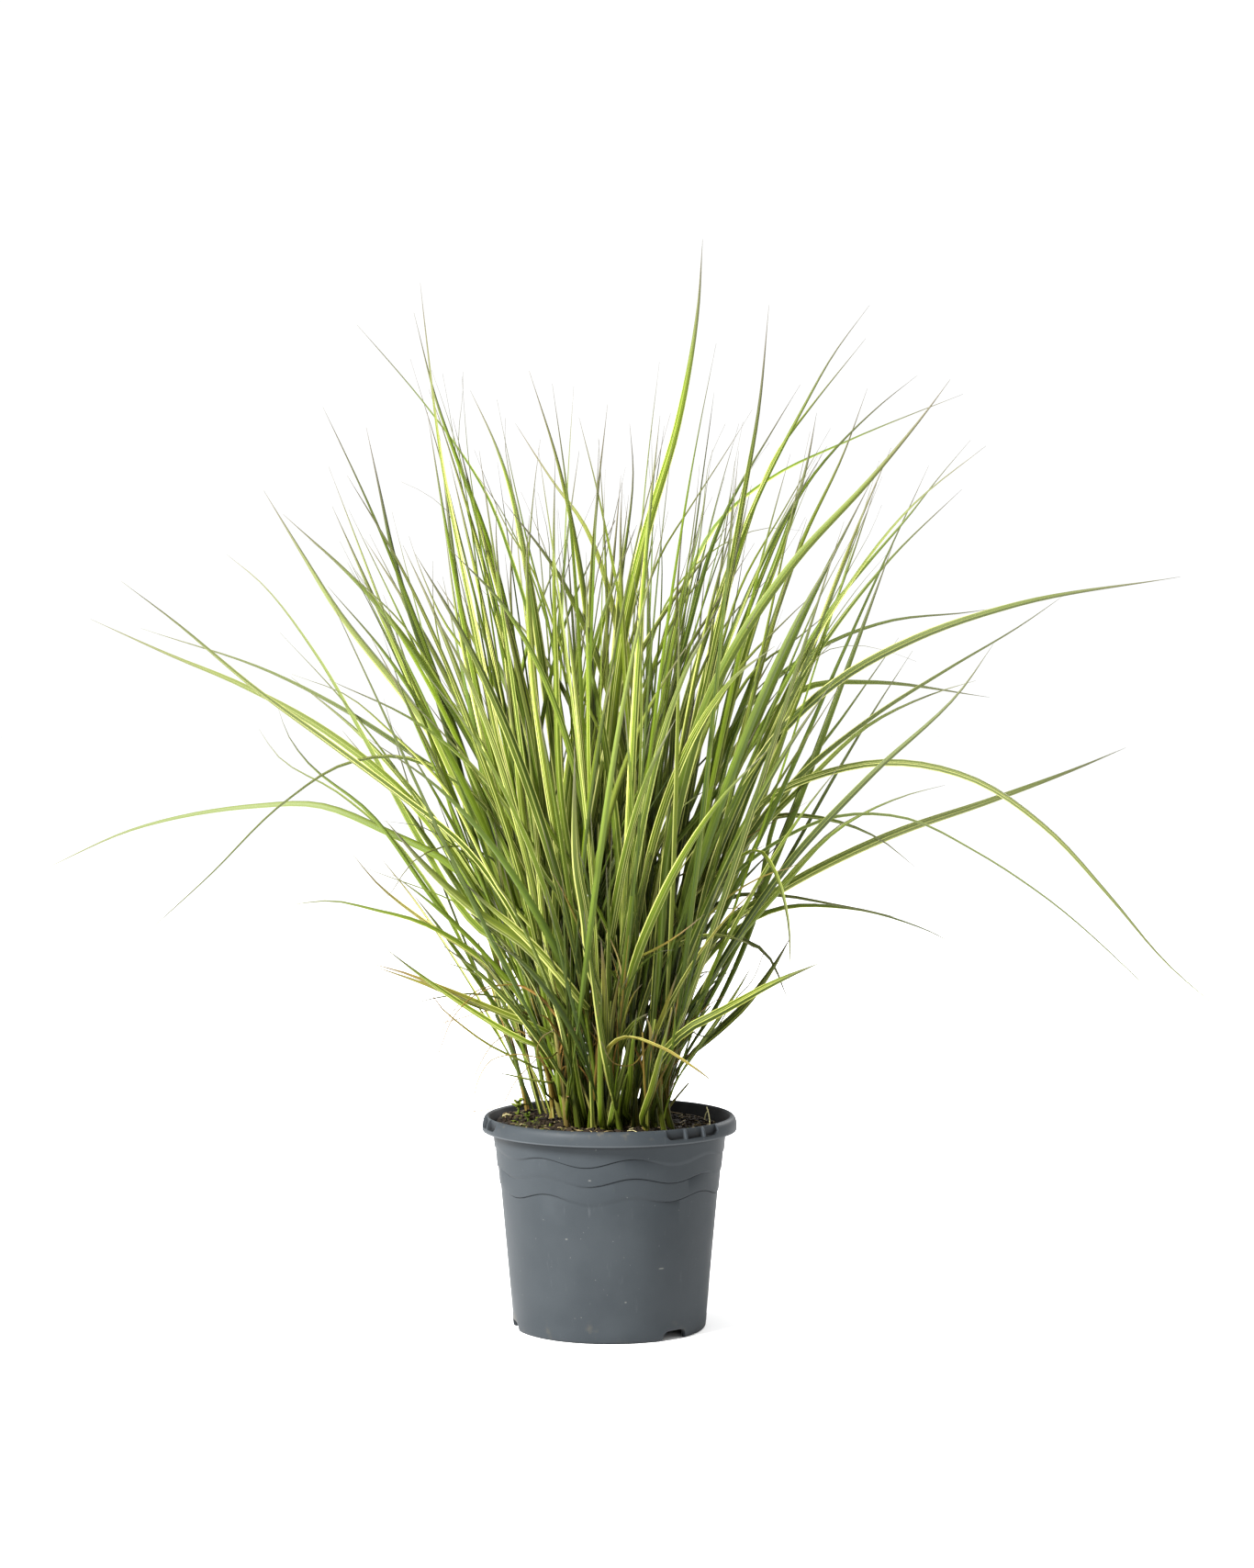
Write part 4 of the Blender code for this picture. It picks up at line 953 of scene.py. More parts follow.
def leaf_material(settings):
    """Green blades with cream margins and lengthwise stripes, grey purple tips, red and dry patches, and
    painted shade low in the clump and in its heart.
    """
    n = Nodes("variegated leaf")
    across, along, red = n.attribute("blade")
    number, stripes, dry = n.attribute("kind")
    seed = n.times(number, 57.0)

    def lengthwise(lines, stretch, apart, detail=1.0):
        """Noise drawn out along the blade, with more lines across it for a higher number."""
        place = n.vector(n.maths("MULTIPLY_ADD", across, lines, seed), n.times(along, stretch), apart)
        return n.noise(place, 1.0, detail)

    def by_blade(second, third):
        """A value that each blade has all over."""
        return n.noise(n.vector(seed, second, third), 1.0, 0.0)

    # Greens from deep to fresh, with cooler and greyer blades and fine paler lines
    tone = n.maths("MULTIPLY_ADD", number, 1.1, -0.3)
    tone = n.maths("MULTIPLY_ADD", lengthwise(0.3, 1.3, 2.0), 0.5, tone, clamp=True)
    green = n.mix(tone, settings.deep_green, settings.green)
    hue = by_blade(2.0, 6.0)
    green = n.mix(n.span(hue, 0.5, 0.6, 0.0, 0.55), green, n.mix(tone, *COOL_GREENS))
    green = n.mix(n.span(hue, 0.44, 0.36, 0.0, 0.4), green, n.mix(tone, *SAGE_GREENS))
    fine = lengthwise(9.0, 0.7, 5.0, 2.0)
    green = n.mix(n.span(fine, 0.45, 0.64, 0.0, 0.6), green, n.mix(0.5, green, settings.pale_green))
    lines = n.span(lengthwise(4.5, 0.4, 7.0), 0.52, 0.56, 0.0, n.times(stripes, 0.7))
    green = n.mix(lines, green, settings.pale_green)

    # Cream bands, margins and rib, stronger on striped blades and fading towards the tip
    limit = n.maths("MULTIPLY_ADD", stripes, -0.17, 0.71)
    band = n.span(lengthwise(4.8, 0.2, 9.0), limit, n.maths("ADD", limit, 0.02))
    lean = n.maths("MULTIPLY_ADD", by_blade(0.0, 3.0), 0.9, -0.45)
    from_rib = n.maths("ABSOLUTE", n.maths("ADD", across, lean))
    edge_start = n.maths("MULTIPLY_ADD", stripes, -0.2, 0.93)
    margin = n.span(from_rib, edge_start, n.maths("ADD", edge_start, 0.05))
    margin = n.times(margin, n.maths("MULTIPLY_ADD", stripes, 1.5, 0.0, clamp=True))
    rib = n.span(n.maths("ABSOLUTE", across), 0.03, 0.09, 0.45, 0.0)
    rib = n.times(rib, n.span(stripes, 0.05, 0.4))
    pale = n.maths("MAXIMUM", n.times(band, 0.9), n.maths("MAXIMUM", margin, rib))
    pale = n.times(pale, n.span(along, 0.62, 0.9, 1.0, 0.1))
    yellowish = by_blade(1.0, 4.0)
    cream = n.mix(n.span(yellowish, 0.4, 0.6), settings.cream, n.mix(0.4, settings.cream, GREENISH_CREAM))
    colour = n.mix(pale, green, cream)

    # Dry and red patches, and the drawn-out tip
    place = n.vector(n.maths("MULTIPLY_ADD", across, 0.8, seed), n.times(along, 9.0), 1.0)
    patches = n.noise(place, 1.0, 3.0)
    dried = n.maths("MULTIPLY", dry, n.span(patches, 0.2, 0.6, 0.6, 1.15), clamp=True)
    brown = n.mix(n.span(patches, 0.4, 0.7), settings.straw, n.mix(0.6, settings.straw, settings.rust))
    brown = n.mix(n.span(number, 0.72, 0.8, 0.0, 0.6), brown, PALE_STRAW)
    colour = n.mix(dried, colour, brown)
    reddened = n.maths("MULTIPLY", red, n.span(patches, 0.3, 0.62, 0.25, 1.0), clamp=True)
    colour = n.mix(reddened, colour, settings.rust)
    colour = n.mix(n.span(along, 0.76, 1.0, 0.0, 0.85), colour, settings.tip)

    # Painted shade: deeper colours low in the clump and in its heart, where the blades shade each other,
    # with less of it at the left, where the light comes from; and greyer colours at the clump's lower
    # outside
    x, y, z = n.split(n.place())
    from_axis = n.maths("SQRT", n.maths("ADD", n.times(x, x), n.times(y, y)))
    reach = n.maths("MULTIPLY_ADD", z, 0.3, 0.002)
    heart_shade = n.span(n.maths("DIVIDE", from_axis, reach), 0.2, 0.85, 0.7, 0.0)
    heart_shade = n.times(heart_shade, n.span(z, 0.26, 0.5, 1.0, 0.2))
    low = n.times(n.span(z, 0.17, 0.46, 0.95, 0.0), n.span(yellowish, 0.3, 0.65, 0.25, 1.0))
    low = n.times(low, n.span(x, -0.08, -0.03, 0.3, 1.0))
    colour = n.mix(low, colour, n.mix(1.0, colour, PAINTED_LOW_SHADE, "MULTIPLY"))
    outer = n.times(n.span(from_axis, 0.11, 0.26, 0.0, 0.55), n.span(z, 0.5, 0.65, 1.0, 0.0))
    colour = n.mix(outer, colour, OUTER_GREY)
    colour = n.mix(heart_shade, colour, n.mix(1.0, colour, PAINTED_HEART_SHADE, "MULTIPLY"))

    # Fine ribs, sheen, and light that comes through
    n.bump(lengthwise(14.0, 0.3, 11.0), 0.25, 0.0003)
    n.finish(colour, n.span(fine, 0.3, 0.7, 0.42, 0.56), 0.13)
    glow = n.tree.nodes.new("ShaderNodeBsdfTranslucent")
    n.link(n.mix(0.15, colour, LEAF_GLOW), glow.inputs["Color"])
    blend = n.tree.nodes.new("ShaderNodeMixShader")
    blend.inputs[0].default_value = GLOW_SHARE
    n.tree.links.new(n.shader.outputs[0], blend.inputs[1])
    n.tree.links.new(glow.outputs[0], blend.inputs[2])
    n.tree.links.new(blend.outputs[0], n.output.inputs["Surface"])
    return n.material


def pot_material(settings):
    """Matte slate plastic with fine grain, pale scuffs, specks and dust low on the wall, painted shadow
    under the rim, painted shade inside the pot, in the pockets and in the ledge grooves, and a painted
    highlight along the rim's lower edge.
    """
    n = Nodes("slate plastic")
    place = n.place()
    x, y, z = n.split(place)
    cloud = n.noise(place, 22.0, 3.0)
    clouded = n.mix(0.5, settings.plastic, CLOUD_GREY)
    colour = n.mix(n.span(cloud, 0.3, 0.7, 0.0, 0.3), settings.plastic, clouded)
    upright = n.vector(n.times(x, 60.0), n.times(y, 60.0), n.times(z, 9.0))
    streak = n.noise(upright, 3.0, 4.0, 0.6)
    colour = n.mix(n.span(streak, 0.64, 0.82, 0.0, 0.2), colour, STREAK_GREY)
    specks = n.noise(place, 620.0, 1.0)
    colour = n.mix(n.span(specks, 0.79, 0.82, 0.0, 0.5), colour, SPECK_GREY)
    dusty = n.span(n.noise(place, 60.0, 4.0), 0.56, 0.74, 0.0, 0.55)
    colour = n.mix(n.times(n.span(z, 0.0, 0.022, 1.0, 0.0), dusty), colour, settings.dust)
    soiled = n.span(n.noise(place, 130.0, 3.0), 0.58, 0.72, 0.0, 0.45)
    colour = n.mix(n.times(n.span(z, 0.150, 0.158), soiled), colour, settings.dust)
    grain = n.noise(place, 900.0, 2.0)
    n.bump(n.maths("ADD", n.times(grain, 0.5), n.times(streak, 0.5)), 0.12, 0.0006)
    # Painted shadow: a dark band on the wall under the rim's lip
    lip = n.times(n.span(z, 0.1435, 0.1462), n.span(z, 0.1468, 0.1472, 0.6, 0.0))
    colour = n.mix(lip, colour, PAINTED_LIP_SHADOW)
    front = n.span(y, -0.02, 0.0, 0.5, 0.0)
    for right, up, wide in SCUFFS:
        beside = n.near(x, right * MM, 0.3 * wide * MM, wide * MM)
        level = n.near(z, up * MM, 0.2 * MM, 0.7 * MM)
        colour = n.mix(n.times(front, n.times(beside, level)), colour, SCUFF_GREY)
    inside, crease, _ = n.attribute("inside")
    # Painted shade on the inside wall and at the back of the pockets
    colour = n.mix(n.times(inside, 0.92), colour, PAINTED_INSIDE_SHADE)
    # Painted shade in the grooves under the ledges
    colour = n.mix(n.times(crease, 0.8), colour, PAINTED_CREASE_SHADE)
    # Painted highlight: a lighter band along the rim's lower edge
    rim_highlight = n.times(n.span(z, 0.1471, 0.1475), n.span(z, 0.1478, 0.1486, 1.0, 0.0))
    colour = n.mix(n.times(rim_highlight, 0.5), colour, PAINTED_RIM_HIGHLIGHT)
    return n.finish(colour, n.span(cloud, 0.25, 0.75, 0.46, 0.6), 0.08)


def soil_material(settings):
    """Moist peat with drier lumps, moss and pale grit."""
    n = Nodes("peat")
    place = n.place()
    lumps = n.noise(place, 160.0, 4.0, 0.65)
    colour = n.mix(n.span(lumps, 0.42, 0.68), settings.peat, settings.dry_peat)
    flecks = n.span(n.noise(place, 420.0, 3.0), 0.45, 0.6)
    moss = n.times(n.span(n.noise(place, 26.0, 2.0), 0.52, 0.66), flecks)
    colour = n.mix(n.times(moss, 0.7), colour, settings.moss)
    colour = n.mix(n.span(n.noise(place, 900.0, 1.0), 0.7, 0.76, 0.0, 0.6), colour, settings.pale)
    n.bump(n.noise(place, 500.0, 5.0, 0.7), 0.9, 0.0015)
    return n.finish(colour, n.span(lumps, 0.4, 0.7, 0.6, 0.9), 0.12)


def crumb_material(settings):
    """Peat, moss, root or straw, by the tint that each crumb or fibre carries."""
    n = Nodes("crumbs and fibres")
    tint, _, _ = n.attribute("crumb")
    fine = n.noise(n.place(), 700.0, 3.0)
    root = n.mix(0.45, settings.pale, settings.dry_peat)
    colour = settings.peat
    for low, high, shade in ((0.0, 0.35, settings.dry_peat), (0.4, 0.5, settings.moss), (0.55, 0.7, root),
                             (0.8, 1.0, settings.pale), (1.05, 1.25, WHITE_STRAW)):
        colour = n.mix(n.span(tint, low, high), colour, shade)
    colour = n.mix(n.span(fine, 0.4, 0.7, 0.0, 0.35), colour, n.mix(0.6, colour, settings.peat))
    return n.finish(colour, n.span(fine, 0.3, 0.7, 0.6, 0.9), 0.1)


def floor_material(settings):
    n = Nodes("pale floor")
    grain = n.noise(n.place(), 3.0, 2.0)
    colour = n.mix(n.span(grain, 0.3, 0.7, 0.0, 0.04), settings.floor, FLOOR_GREY)
    return n.finish(colour, 0.9, 0.1)


# Objects

def add_object(name, data, material=None):
    made = bpy.data.objects.new(name, data)
    bpy.context.scene.collection.objects.link(made)
    if material:
        data.materials.append(material)
    return made


def stand_for(made, slot, *nodes):
    """The piece rides on the part's one body and hides the solids it stands for; its slot is not used."""
    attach(made, "root")
    if nodes:
        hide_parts(*nodes)


def smooth(mesh):
    mesh.polygons.foreach_set("use_smooth", np.ones(len(mesh.polygons), bool))


def skin(shape, rings):
    """Faces between rings of equally many corners, and over the first and the last."""
    for low, high in zip(rings, rings[1:]):
        for k in range(len(low)):
            j = (k + 1) % len(low)
            shape.faces.new((low[k], low[j], high[j], high[k]))
    shape.faces.new(rings[0])
    shape.faces.new(rings[-1])


def shape_of(name, shape):
    """The shape as a mesh, with its faces turned outwards."""
    bmesh.ops.recalc_face_normals(shape, faces=shape.faces)
    mesh = bpy.data.meshes.new(name)
    shape.to_mesh(mesh)
    shape.free()
    return mesh


def loft(name, rings):
    """A closed mesh through rings of equally many points."""
    shape = bmesh.new()
    skin(shape, [[shape.verts.new(point) for point in ring] for ring in rings])
    return shape_of(name, shape)


def settle(made):
    """Applies the object's modifiers and drops its cutters."""
    graph = bpy.context.evaluated_depsgraph_get()
    mesh = bpy.data.meshes.new_from_object(made.evaluated_get(graph))
    cutters = [step.object for step in made.modifiers if getattr(step, "object", None)]
    made.modifiers.clear()
    made.data = mesh
    for cutter in cutters:
        bpy.data.objects.remove(cutter)


# Pot

# A wavy ledge from above to below: height from its line and change of it where the ledge fades,
# both in mm, share of the step out that the wall has there, and share of the groove's depth
LEDGE_SHAPE = ((1.0, 1, 1.0, 0), (0.0, 0.8, 1.0, 0), (-0.2, -0.4, 0.15, 0.9), (-0.45, -0.6, 0.0, 0.7),
               (-0.8, -1, 0.0, 0))
LEDGE_GROOVE = 0.45 * MM
# The rim from its inner edge over its top: how far in from the widest and how far down, in mm
RIM_SHAPE = ((5.4, 1.6), (5.0, 0.6), (4.2, 0), (3.2, 0.12), (2.2, 0.7), (1.1, 2.2), (0.4, 4.2),
             (0.08, 6.4), (0, 8.6))
# The wall below the ledges: height, and how far it stands out there, in mm
FOOT_SHAPE = ((80, 0), (60, 0), (40, 0), (20, 0), (9.6, 0), (8.6, 0.25), (2.2, 0.25), (0.8, 0.05),
              (0.15, -0.4), (0, -1.2))
# Right half of a notch's arch, as shares of its half width and its height
NOTCH_ARCH = ((1, 0.4), (0.93, 0.66), (0.8, 0.86), (0.62, 0.97), (0.4, 1))
AXIS_GAP = 0.4 * MM
DRAIN_SIDES = 24
POCKET_STEPS = 6
SOFT_EDGE = 0.3 * MM
SOFTENED_ABOVE = math.radians(50)
SHARP_ABOVE = math.radians(38)


def wall_radius(height):
    """Outer radius of the pot's wall, which steps out at each ledge above its foot."""
    steps = sum(height > ledge for ledge in LEDGE_HEIGHTS)
    return FOOT_RADIUS + WALL_SLOPE * height + LEDGE_STEP * steps


def ledge_line(settings, number, turn):
    """Height of a wavy ledge at that angle, and how far it fades into the wall there."""
    wave = settings.wave * (math.sin(WAVES * turn) + 0.3 * math.sin(5 * turn + number))
    return LEDGE_HEIGHTS[number] + wave, (0.5 + 0.5 * math.sin(3 * turn + 1.9 * number)) ** 2


def ledge_rows(settings):
    """Rows of points for the wavy ledges: functions of the angle that give (radius, height)."""
    def row(number, offset, spread, share, groove, turn):
        height, fade = ledge_line(settings, number, turn)
        height += (offset + 1.5 * fade * spread) * MM
        radius = FOOT_RADIUS + WALL_SLOPE * height + LEDGE_STEP * (number + share)
        return radius - LEDGE_GROOVE * groove * (1 - fade), height

    numbers = reversed(range(len(LEDGE_HEIGHTS)))
    return [functools.partial(row, number, *shape) for number in numbers for shape in LEDGE_SHAPE]


def fixed(radius, height):
    return lambda turn: (radius, height)


def pot_rows(settings):
    """The pot's outline from the middle of its floor, up the inside, over the rim and down the wall."""
    rim = RIM_DIAMETER / 2
    under = POT_HEIGHT - RIM_DEPTH
    low = wall_radius(FLOOR_HEIGHT)
    high = wall_radius(under)
    inner = [(AXIS_GAP, WALL), (PAD_RADIUS, WALL), (PAD_RADIUS + 3 * MM, FLOOR_HEIGHT + WALL),
             (low - 2.4 * WALL, FLOOR_HEIGHT + WALL), (low - 1.5 * WALL, FLOOR_HEIGHT + 2 * WALL),
             (wall_radius(0.75 * under) - WALL, 0.75 * under), (high - WALL, under)]
    top = [(rim - inward * MM, POT_HEIGHT - down * MM) for inward, down in RIM_SHAPE]
    lip = [(rim, under + 1.0 * MM), (rim - 0.35 * MM, under + 0.25 * MM), (rim - 1.1 * MM, under),
           (high + 1.6 * MM, under - 0.1 * MM), (high + 0.3 * MM, under - 0.5 * MM),
           (wall_radius(under - 2 * MM), under - 2.4 * MM)]
    foot = [(wall_radius(up * MM) + out * MM, up * MM) for up, out in FOOT_SHAPE]
    ring = wall_radius(0) - 3.0 * MM
    underside = [(ring, 0), (ring - 0.2 * MM, 0.4 * MM), (ring - 0.2 * MM, FLOOR_HEIGHT),
                 (PAD_RADIUS + 4.5 * MM, FLOOR_HEIGHT), (PAD_RADIUS + 1.7 * MM, 0.3 * MM),
                 (PAD_RADIUS + 1.2 * MM, 0), (AXIS_GAP, 0)]
    above = [fixed(*spot) for spot in inner + top + lip]
    below = [fixed(*spot) for spot in foot + underside]
    return above + ledge_rows(settings) + below


def turned(name, rows, sides):
    """A closed mesh turned round the Z axis, each row of points a function of the angle."""
    rings = []
    for row in rows:
        ring = []
        for k in range(sides):
            turn = 2 * math.pi * k / sides
            radius, height = row(turn)
            ring.append((radius * math.cos(turn), radius * math.sin(turn), height))
        rings.append(ring)
    return loft(name, rings)


def around(angle):
    """Outward and sideways directions at that angle from the front."""
    turn = math.radians(angle)
    return Vector((math.sin(turn), -math.cos(turn), 0)), Vector((math.cos(turn), math.sin(turn), 0))


def pocket_cutter(name, angle, middle, last):
    """Follows the rim between two radii, with its lower outer corners rounded where the recess ends."""
    rings = []
    for k in range(POCKET_STEPS + 1):
        share = k / POCKET_STEPS
        out, _ = around(middle - POCKET_ARC / 2 + POCKET_ARC * share)
        outer_end = share if angle < middle else 1 - share
        lift = 2.6 * MM * max(0, 1 - (1 - outer_end) / 0.3) ** 2 if last else 0
        deep = POCKET_RADIUS - 1.2 * MM
        rings.append([out * radius + Vector((0, 0, z)) for radius, z in (
            (deep, POCKET_SHELF + lift + 0.5 * MM), (deep + 0.5 * MM, POCKET_SHELF + lift),
            (RIM_DIAMETER, POCKET_SHELF + lift), (RIM_DIAMETER, POT_HEIGHT + 4 * MM),
            (deep, POT_HEIGHT + 4 * MM))])
    return add_object(name, loft(name, rings))


def notch_cutter(name, angle):
    """An arch through the foot of the wall."""
    out, across = around(angle)
    half = NOTCH_WIDTH / 2
    right = [(half * x, NOTCH_HEIGHT * z) for x, z in NOTCH_ARCH]
    arch = [(-half, -2 * MM), (half, -2 * MM), *right, *((-x, z) for x, z in reversed(right))]
    rings = [[out * reach + across * x + Vector((0, 0, z)) for x, z in arch]
             for reach in (FOOT_RADIUS - 9 * MM, FOOT_RADIUS + 6 * MM)]
    return add_object(name, loft(name, rings))


def drain_cutter(name, turn):
    """An upright round bar through the floor."""
    middle = compass(turn) * DRAIN_CIRCLE
    ring = [middle + compass(2 * math.pi * k / DRAIN_SIDES) * DRAIN_RADIUS for k in range(DRAIN_SIDES)]
    rings = [[spot + Vector((0, 0, z)) for spot in ring] for z in (0, 2 * FLOOR_HEIGHT)]
    return add_object(name, loft(name, rings))


def pot_cutters():
    cutters = []
    for n, angle in enumerate(NOTCH_ANGLES):
        cutters.append(notch_cutter(f"notch_cut_{n}", angle))
        for k in range(POCKETS):
            middle = angle + (k - (POCKETS - 1) / 2) * POCKET_PITCH
            cutters.append(pocket_cutter(f"pocket_cut_{n}_{k}", angle, middle, k != 1))
    for n in range(DRAINS):
        cutters.append(drain_cutter(f"drain_cut_{n}", 2 * math.pi * (n + 0.5) / DRAINS))
    return cutters


def mark_pot(mesh, settings):
    """Marks what lies inside the pot or in a pocket, and the grooves under the ledges, where the pot
    material paints shade.
    """
    marks = mesh.attributes.new("inside", "FLOAT_VECTOR", "POINT")
    for corner, mark in zip(mesh.vertices, marks.data):
        x, y, z = corner.co
        radial = Vector((x, y, 0))
        inward = -corner.normal.dot(radial.normalized())
        shade = 0.0
        # Painted shade: the inside wall below the rim's top is marked fully, the backs of the pockets partly
        if inward > 0.4 and z < POT_HEIGHT - 1.2 * MM:
            shade = 1.0
        elif (inward < 0.4 and abs(radial.length - POCKET_RADIUS + 1 * MM) < 1.2 * MM
              and POCKET_SHELF < z + 0.4 * MM < POT_HEIGHT - 2 * MM):
            shade = 0.75
        # Painted shade: the groove under each ledge is marked, most where the ledge fades least
        crease = 0.0
        for number in range(len(LEDGE_HEIGHTS)):
            height, fade = ledge_line(settings, number, math.atan2(y, x))
            middle = height - (0.32 + 0.75 * fade) * MM
            if inward < 0 and abs(z - middle) < (0.15 + 0.2 * fade) * MM:
                crease = max(0.0, 1 - 1.6 * fade)
        mark.vector = (shade, crease, 0)


def build_pot(settings):
    """The turned wall with its notches, pockets and drain holes cut out and its edges softened."""
    wall = turned("pot wall", pot_rows(settings), settings.sides)
    pot = add_object("pot_wall", wall, pot_material(settings))
    for cutter in pot_cutters():
        step = pot.modifiers.new(cutter.name, "BOOLEAN")
        step.operation = "DIFFERENCE"
        step.solver = "EXACT"
        step.object = cutter
    settle(pot)
    soften = pot.modifiers.new("soft edges", "BEVEL")
    soften.width = SOFT_EDGE
    soften.segments = 2
    soften.limit_method = "ANGLE"
    soften.angle_limit = SOFTENED_ABOVE
    soften.use_clamp_overlap = True
    settle(pot)
    smooth(pot.data)
    pot.data.set_sharp_from_angle(angle=SHARP_ABOVE)
    mark_pot(pot.data, settings)
    stand_for(pot, "pot", "pot")


# Soil

# Lumps of the soil as waves: height in mm, waves along x and along y, and phase
SOIL_LUMPS = ((0.7, 90, 40, 0.3), (0.6, -60, 110, 1.2), (0.45, 210, 150, 2.0), (0.4, -190, 230, 0.7),
              (0.3, 420, -310, 1.1), (0.25, 370, 460, 2.6))
SOIL_SIDES = 220
SOIL_CIRCLES = 84
SMOOTH_CIRCLES = 6
SOIL_SHOULDER = 142 * MM
CRUMB_REACH = 82 * MM
LITTER_REACH = 80 * MM
CRUMB_CORNERS = ((-1, -1, -1), (1, -1, -1), (1, 1, -1), (-1, 1, -1),
                 (-1, -1, 1), (1, -1, 1), (1, 1, 1), (-1, 1, 1))
CRUMB_FACES = ((0, 3, 2, 1), (4, 5, 6, 7), (0, 1, 5, 4), (1, 2, 6, 5), (2, 3, 7, 6), (3, 0, 4, 7))
# Stubs that stand at the right: column and row of the foot, then how far aside and up they go, in mm
STUBS = ((774, 1226, -2.5, 15), (768, 1219, 3.0, 8), (742, 1206, -5.0, 9))


def soil_height(x, y):
    """Height of the soil: lumpy, heaped up at the left, lower at the right."""
    lumps = sum(size * math.sin(fx * x + fy * y + phase) for size, fx, fy, phase in SOIL_LUMPS)
    slope = 2.6 * math.sin(min(1, max(-1, -x / 0.075)) * math.pi / 2) + 0.8 * max(0, y / 0.08)
    mound = 1.6 * max(0, 1 - math.hypot(x + 0.01, y) / 0.06)
    return SOIL_TOP + (lumps * 0.9 + mound + slope + 2.0) * MM


def build_soil(settings):
    """The plug of peat, which follows the pot's inside and has a gritty, lumpy top."""
    base = FLOOR_HEIGHT + WALL + GAP
    inside = wall_radius(POT_HEIGHT - RIM_DEPTH) - WALL
    low = wall_radius(FLOOR_HEIGHT) - 1.5 * WALL
    slope = (inside - low) / (POT_HEIGHT - RIM_DEPTH - FLOOR_HEIGHT - WALL)
    edge = low + slope * (SOIL_TOP - FLOOR_HEIGHT - WALL) - 3 * GAP
    dice = random.Random(PEAT_SEED)
    turns = [2 * math.pi * k / SOIL_SIDES for k in range(SOIL_SIDES)]
    rings = []
    for circle in range(1, SOIL_CIRCLES + 1):
        radius = edge * circle / SOIL_CIRCLES
        ring = []
        for turn in turns:
            x, y = radius * math.cos(turn), radius * math.sin(turn)
            grit = dice.uniform(-0.35, 0.45) * MM if circle > SMOOTH_CIRCLES else 0
            ring.append((x, y, soil_height(x, y) + grit))
        rings.append(ring)
    for radius, height in ((edge - 0.4 * MM, SOIL_SHOULDER), (low - 3 * GAP, base),
                           (PAD_RADIUS + 2.6 * MM, base), (PAD_RADIUS - GAP, WALL + GAP)):
        rings.append([(radius * math.cos(turn), radius * math.sin(turn), height) for turn in turns])
    mesh = loft("peat plug", rings)
    smooth(mesh)
    stand_for(add_object("peat", mesh, soil_material(settings)), "soil", "soil")


def crumb(shape, mark, centre, size, tint, dice):
    """One rough lump with eight corners."""
    made = []
    for sx, sy, sz in CRUMB_CORNERS:
        corner = Vector((sx * dice.uniform(0.3, 0.75), sy * dice.uniform(0.3, 0.75),
                         sz * dice.uniform(0.25, 0.6)))
        made.append(shape.verts.new(centre + corner * size))
        made[-1][mark] = Vector((tint, 0, 0))
    turn = dice.uniform(0, math.pi)
    bmesh.ops.rotate(shape, verts=made, cent=centre, matrix=Matrix.Rotation(turn, 3, "Z"))
    for face in CRUMB_FACES:
        shape.faces.new([made[i] for i in face])


def strip(shape, mark, points, half_width, half_thickness, tint):
    """A flat or round bit of straw or root along the points."""
    rings = []
    for k, spot in enumerate(points):
        ahead = (points[min(k + 1, len(points) - 1)] - points[max(k - 1, 0)]).normalized()
        side = ahead.cross(Vector((0, 0, 1))).normalized()
        up = side.cross(ahead)
        ring = [shape.verts.new(spot + side * half_width * a + up * half_thickness * b)
                for a, b in ((1, 0), (0, 1), (-1, 0), (0, -1))]
        for corner in ring:
            corner[mark] = Vector((tint, 0, 0))
        rings.append(ring)
    skin(shape, rings)


def on_soil(column, row):
    """The point on the soil that the front view shows at that column and row, inside the pot."""
    ray = on_sheet(column, row, 0) - EYE
    spot = EYE + ray * ((SOIL_TOP + 3 * MM - EYE.z) / ray.z)
    reach = math.hypot(spot.x, spot.y)
    spot *= min(1, LITTER_REACH / reach)
    spot.z = soil_height(spot.x, spot.y) + 1.2 * MM
    return spot


def anywhere(dice):
    """A random place on the soil."""
    radius = CRUMB_REACH * math.sqrt(dice.random())
    turn = dice.uniform(0, 2 * math.pi)
    return radius * math.cos(turn), radius * math.sin(turn)


def strew_crumbs(shape, mark, count, dice):
    """Crumbs of peat and moss, with a few pale grains, and now and then a large one."""
    for _ in range(count):
        x, y = anywhere(dice)
        roll = dice.random()
        mossy = 0.1 if x > -20 * MM else 0.24
        if roll < mossy:
            tint = 0.52
        elif roll > 0.965:
            tint = dice.uniform(0.58, 0.9)
        else:
            tint = dice.uniform(0, 0.38)
        size = (0.8 + 2.2 * dice.random() ** 2) * MM if tint < 0.5 else dice.uniform(0.6, 1.3) * MM
        if dice.random() < 0.03:
            size *= 2
        crumb(shape, mark, Vector((x, y, soil_height(x, y) + size * 0.15)), size, tint, dice)


def strew_fibres(shape, mark, count, dice):
    """Short bent bits of root and straw."""
    for _ in range(count):
        start = Vector((*anywhere(dice), 0))
        heading = dice.uniform(0, 2 * math.pi)
        length = dice.uniform(3, 14) * MM
        points = []
        for k in range(5):
            spot = start + compass(heading) * length * (k / 4 - 0.5)
            if spot.length > CRUMB_REACH:
                spot *= CRUMB_REACH / spot.length
            arch = math.sin(math.pi * k / 4) * dice.random()
            spot.z = soil_height(spot.x, spot.y) + (0.6 + 1.4 * arch) * MM
            points.append(spot)
            heading += dice.uniform(-0.35, 0.35)
        thick = dice.uniform(0.16, 0.4) * MM
        strip(shape, mark, points, thick, thick, dice.uniform(0.58, 1.2))


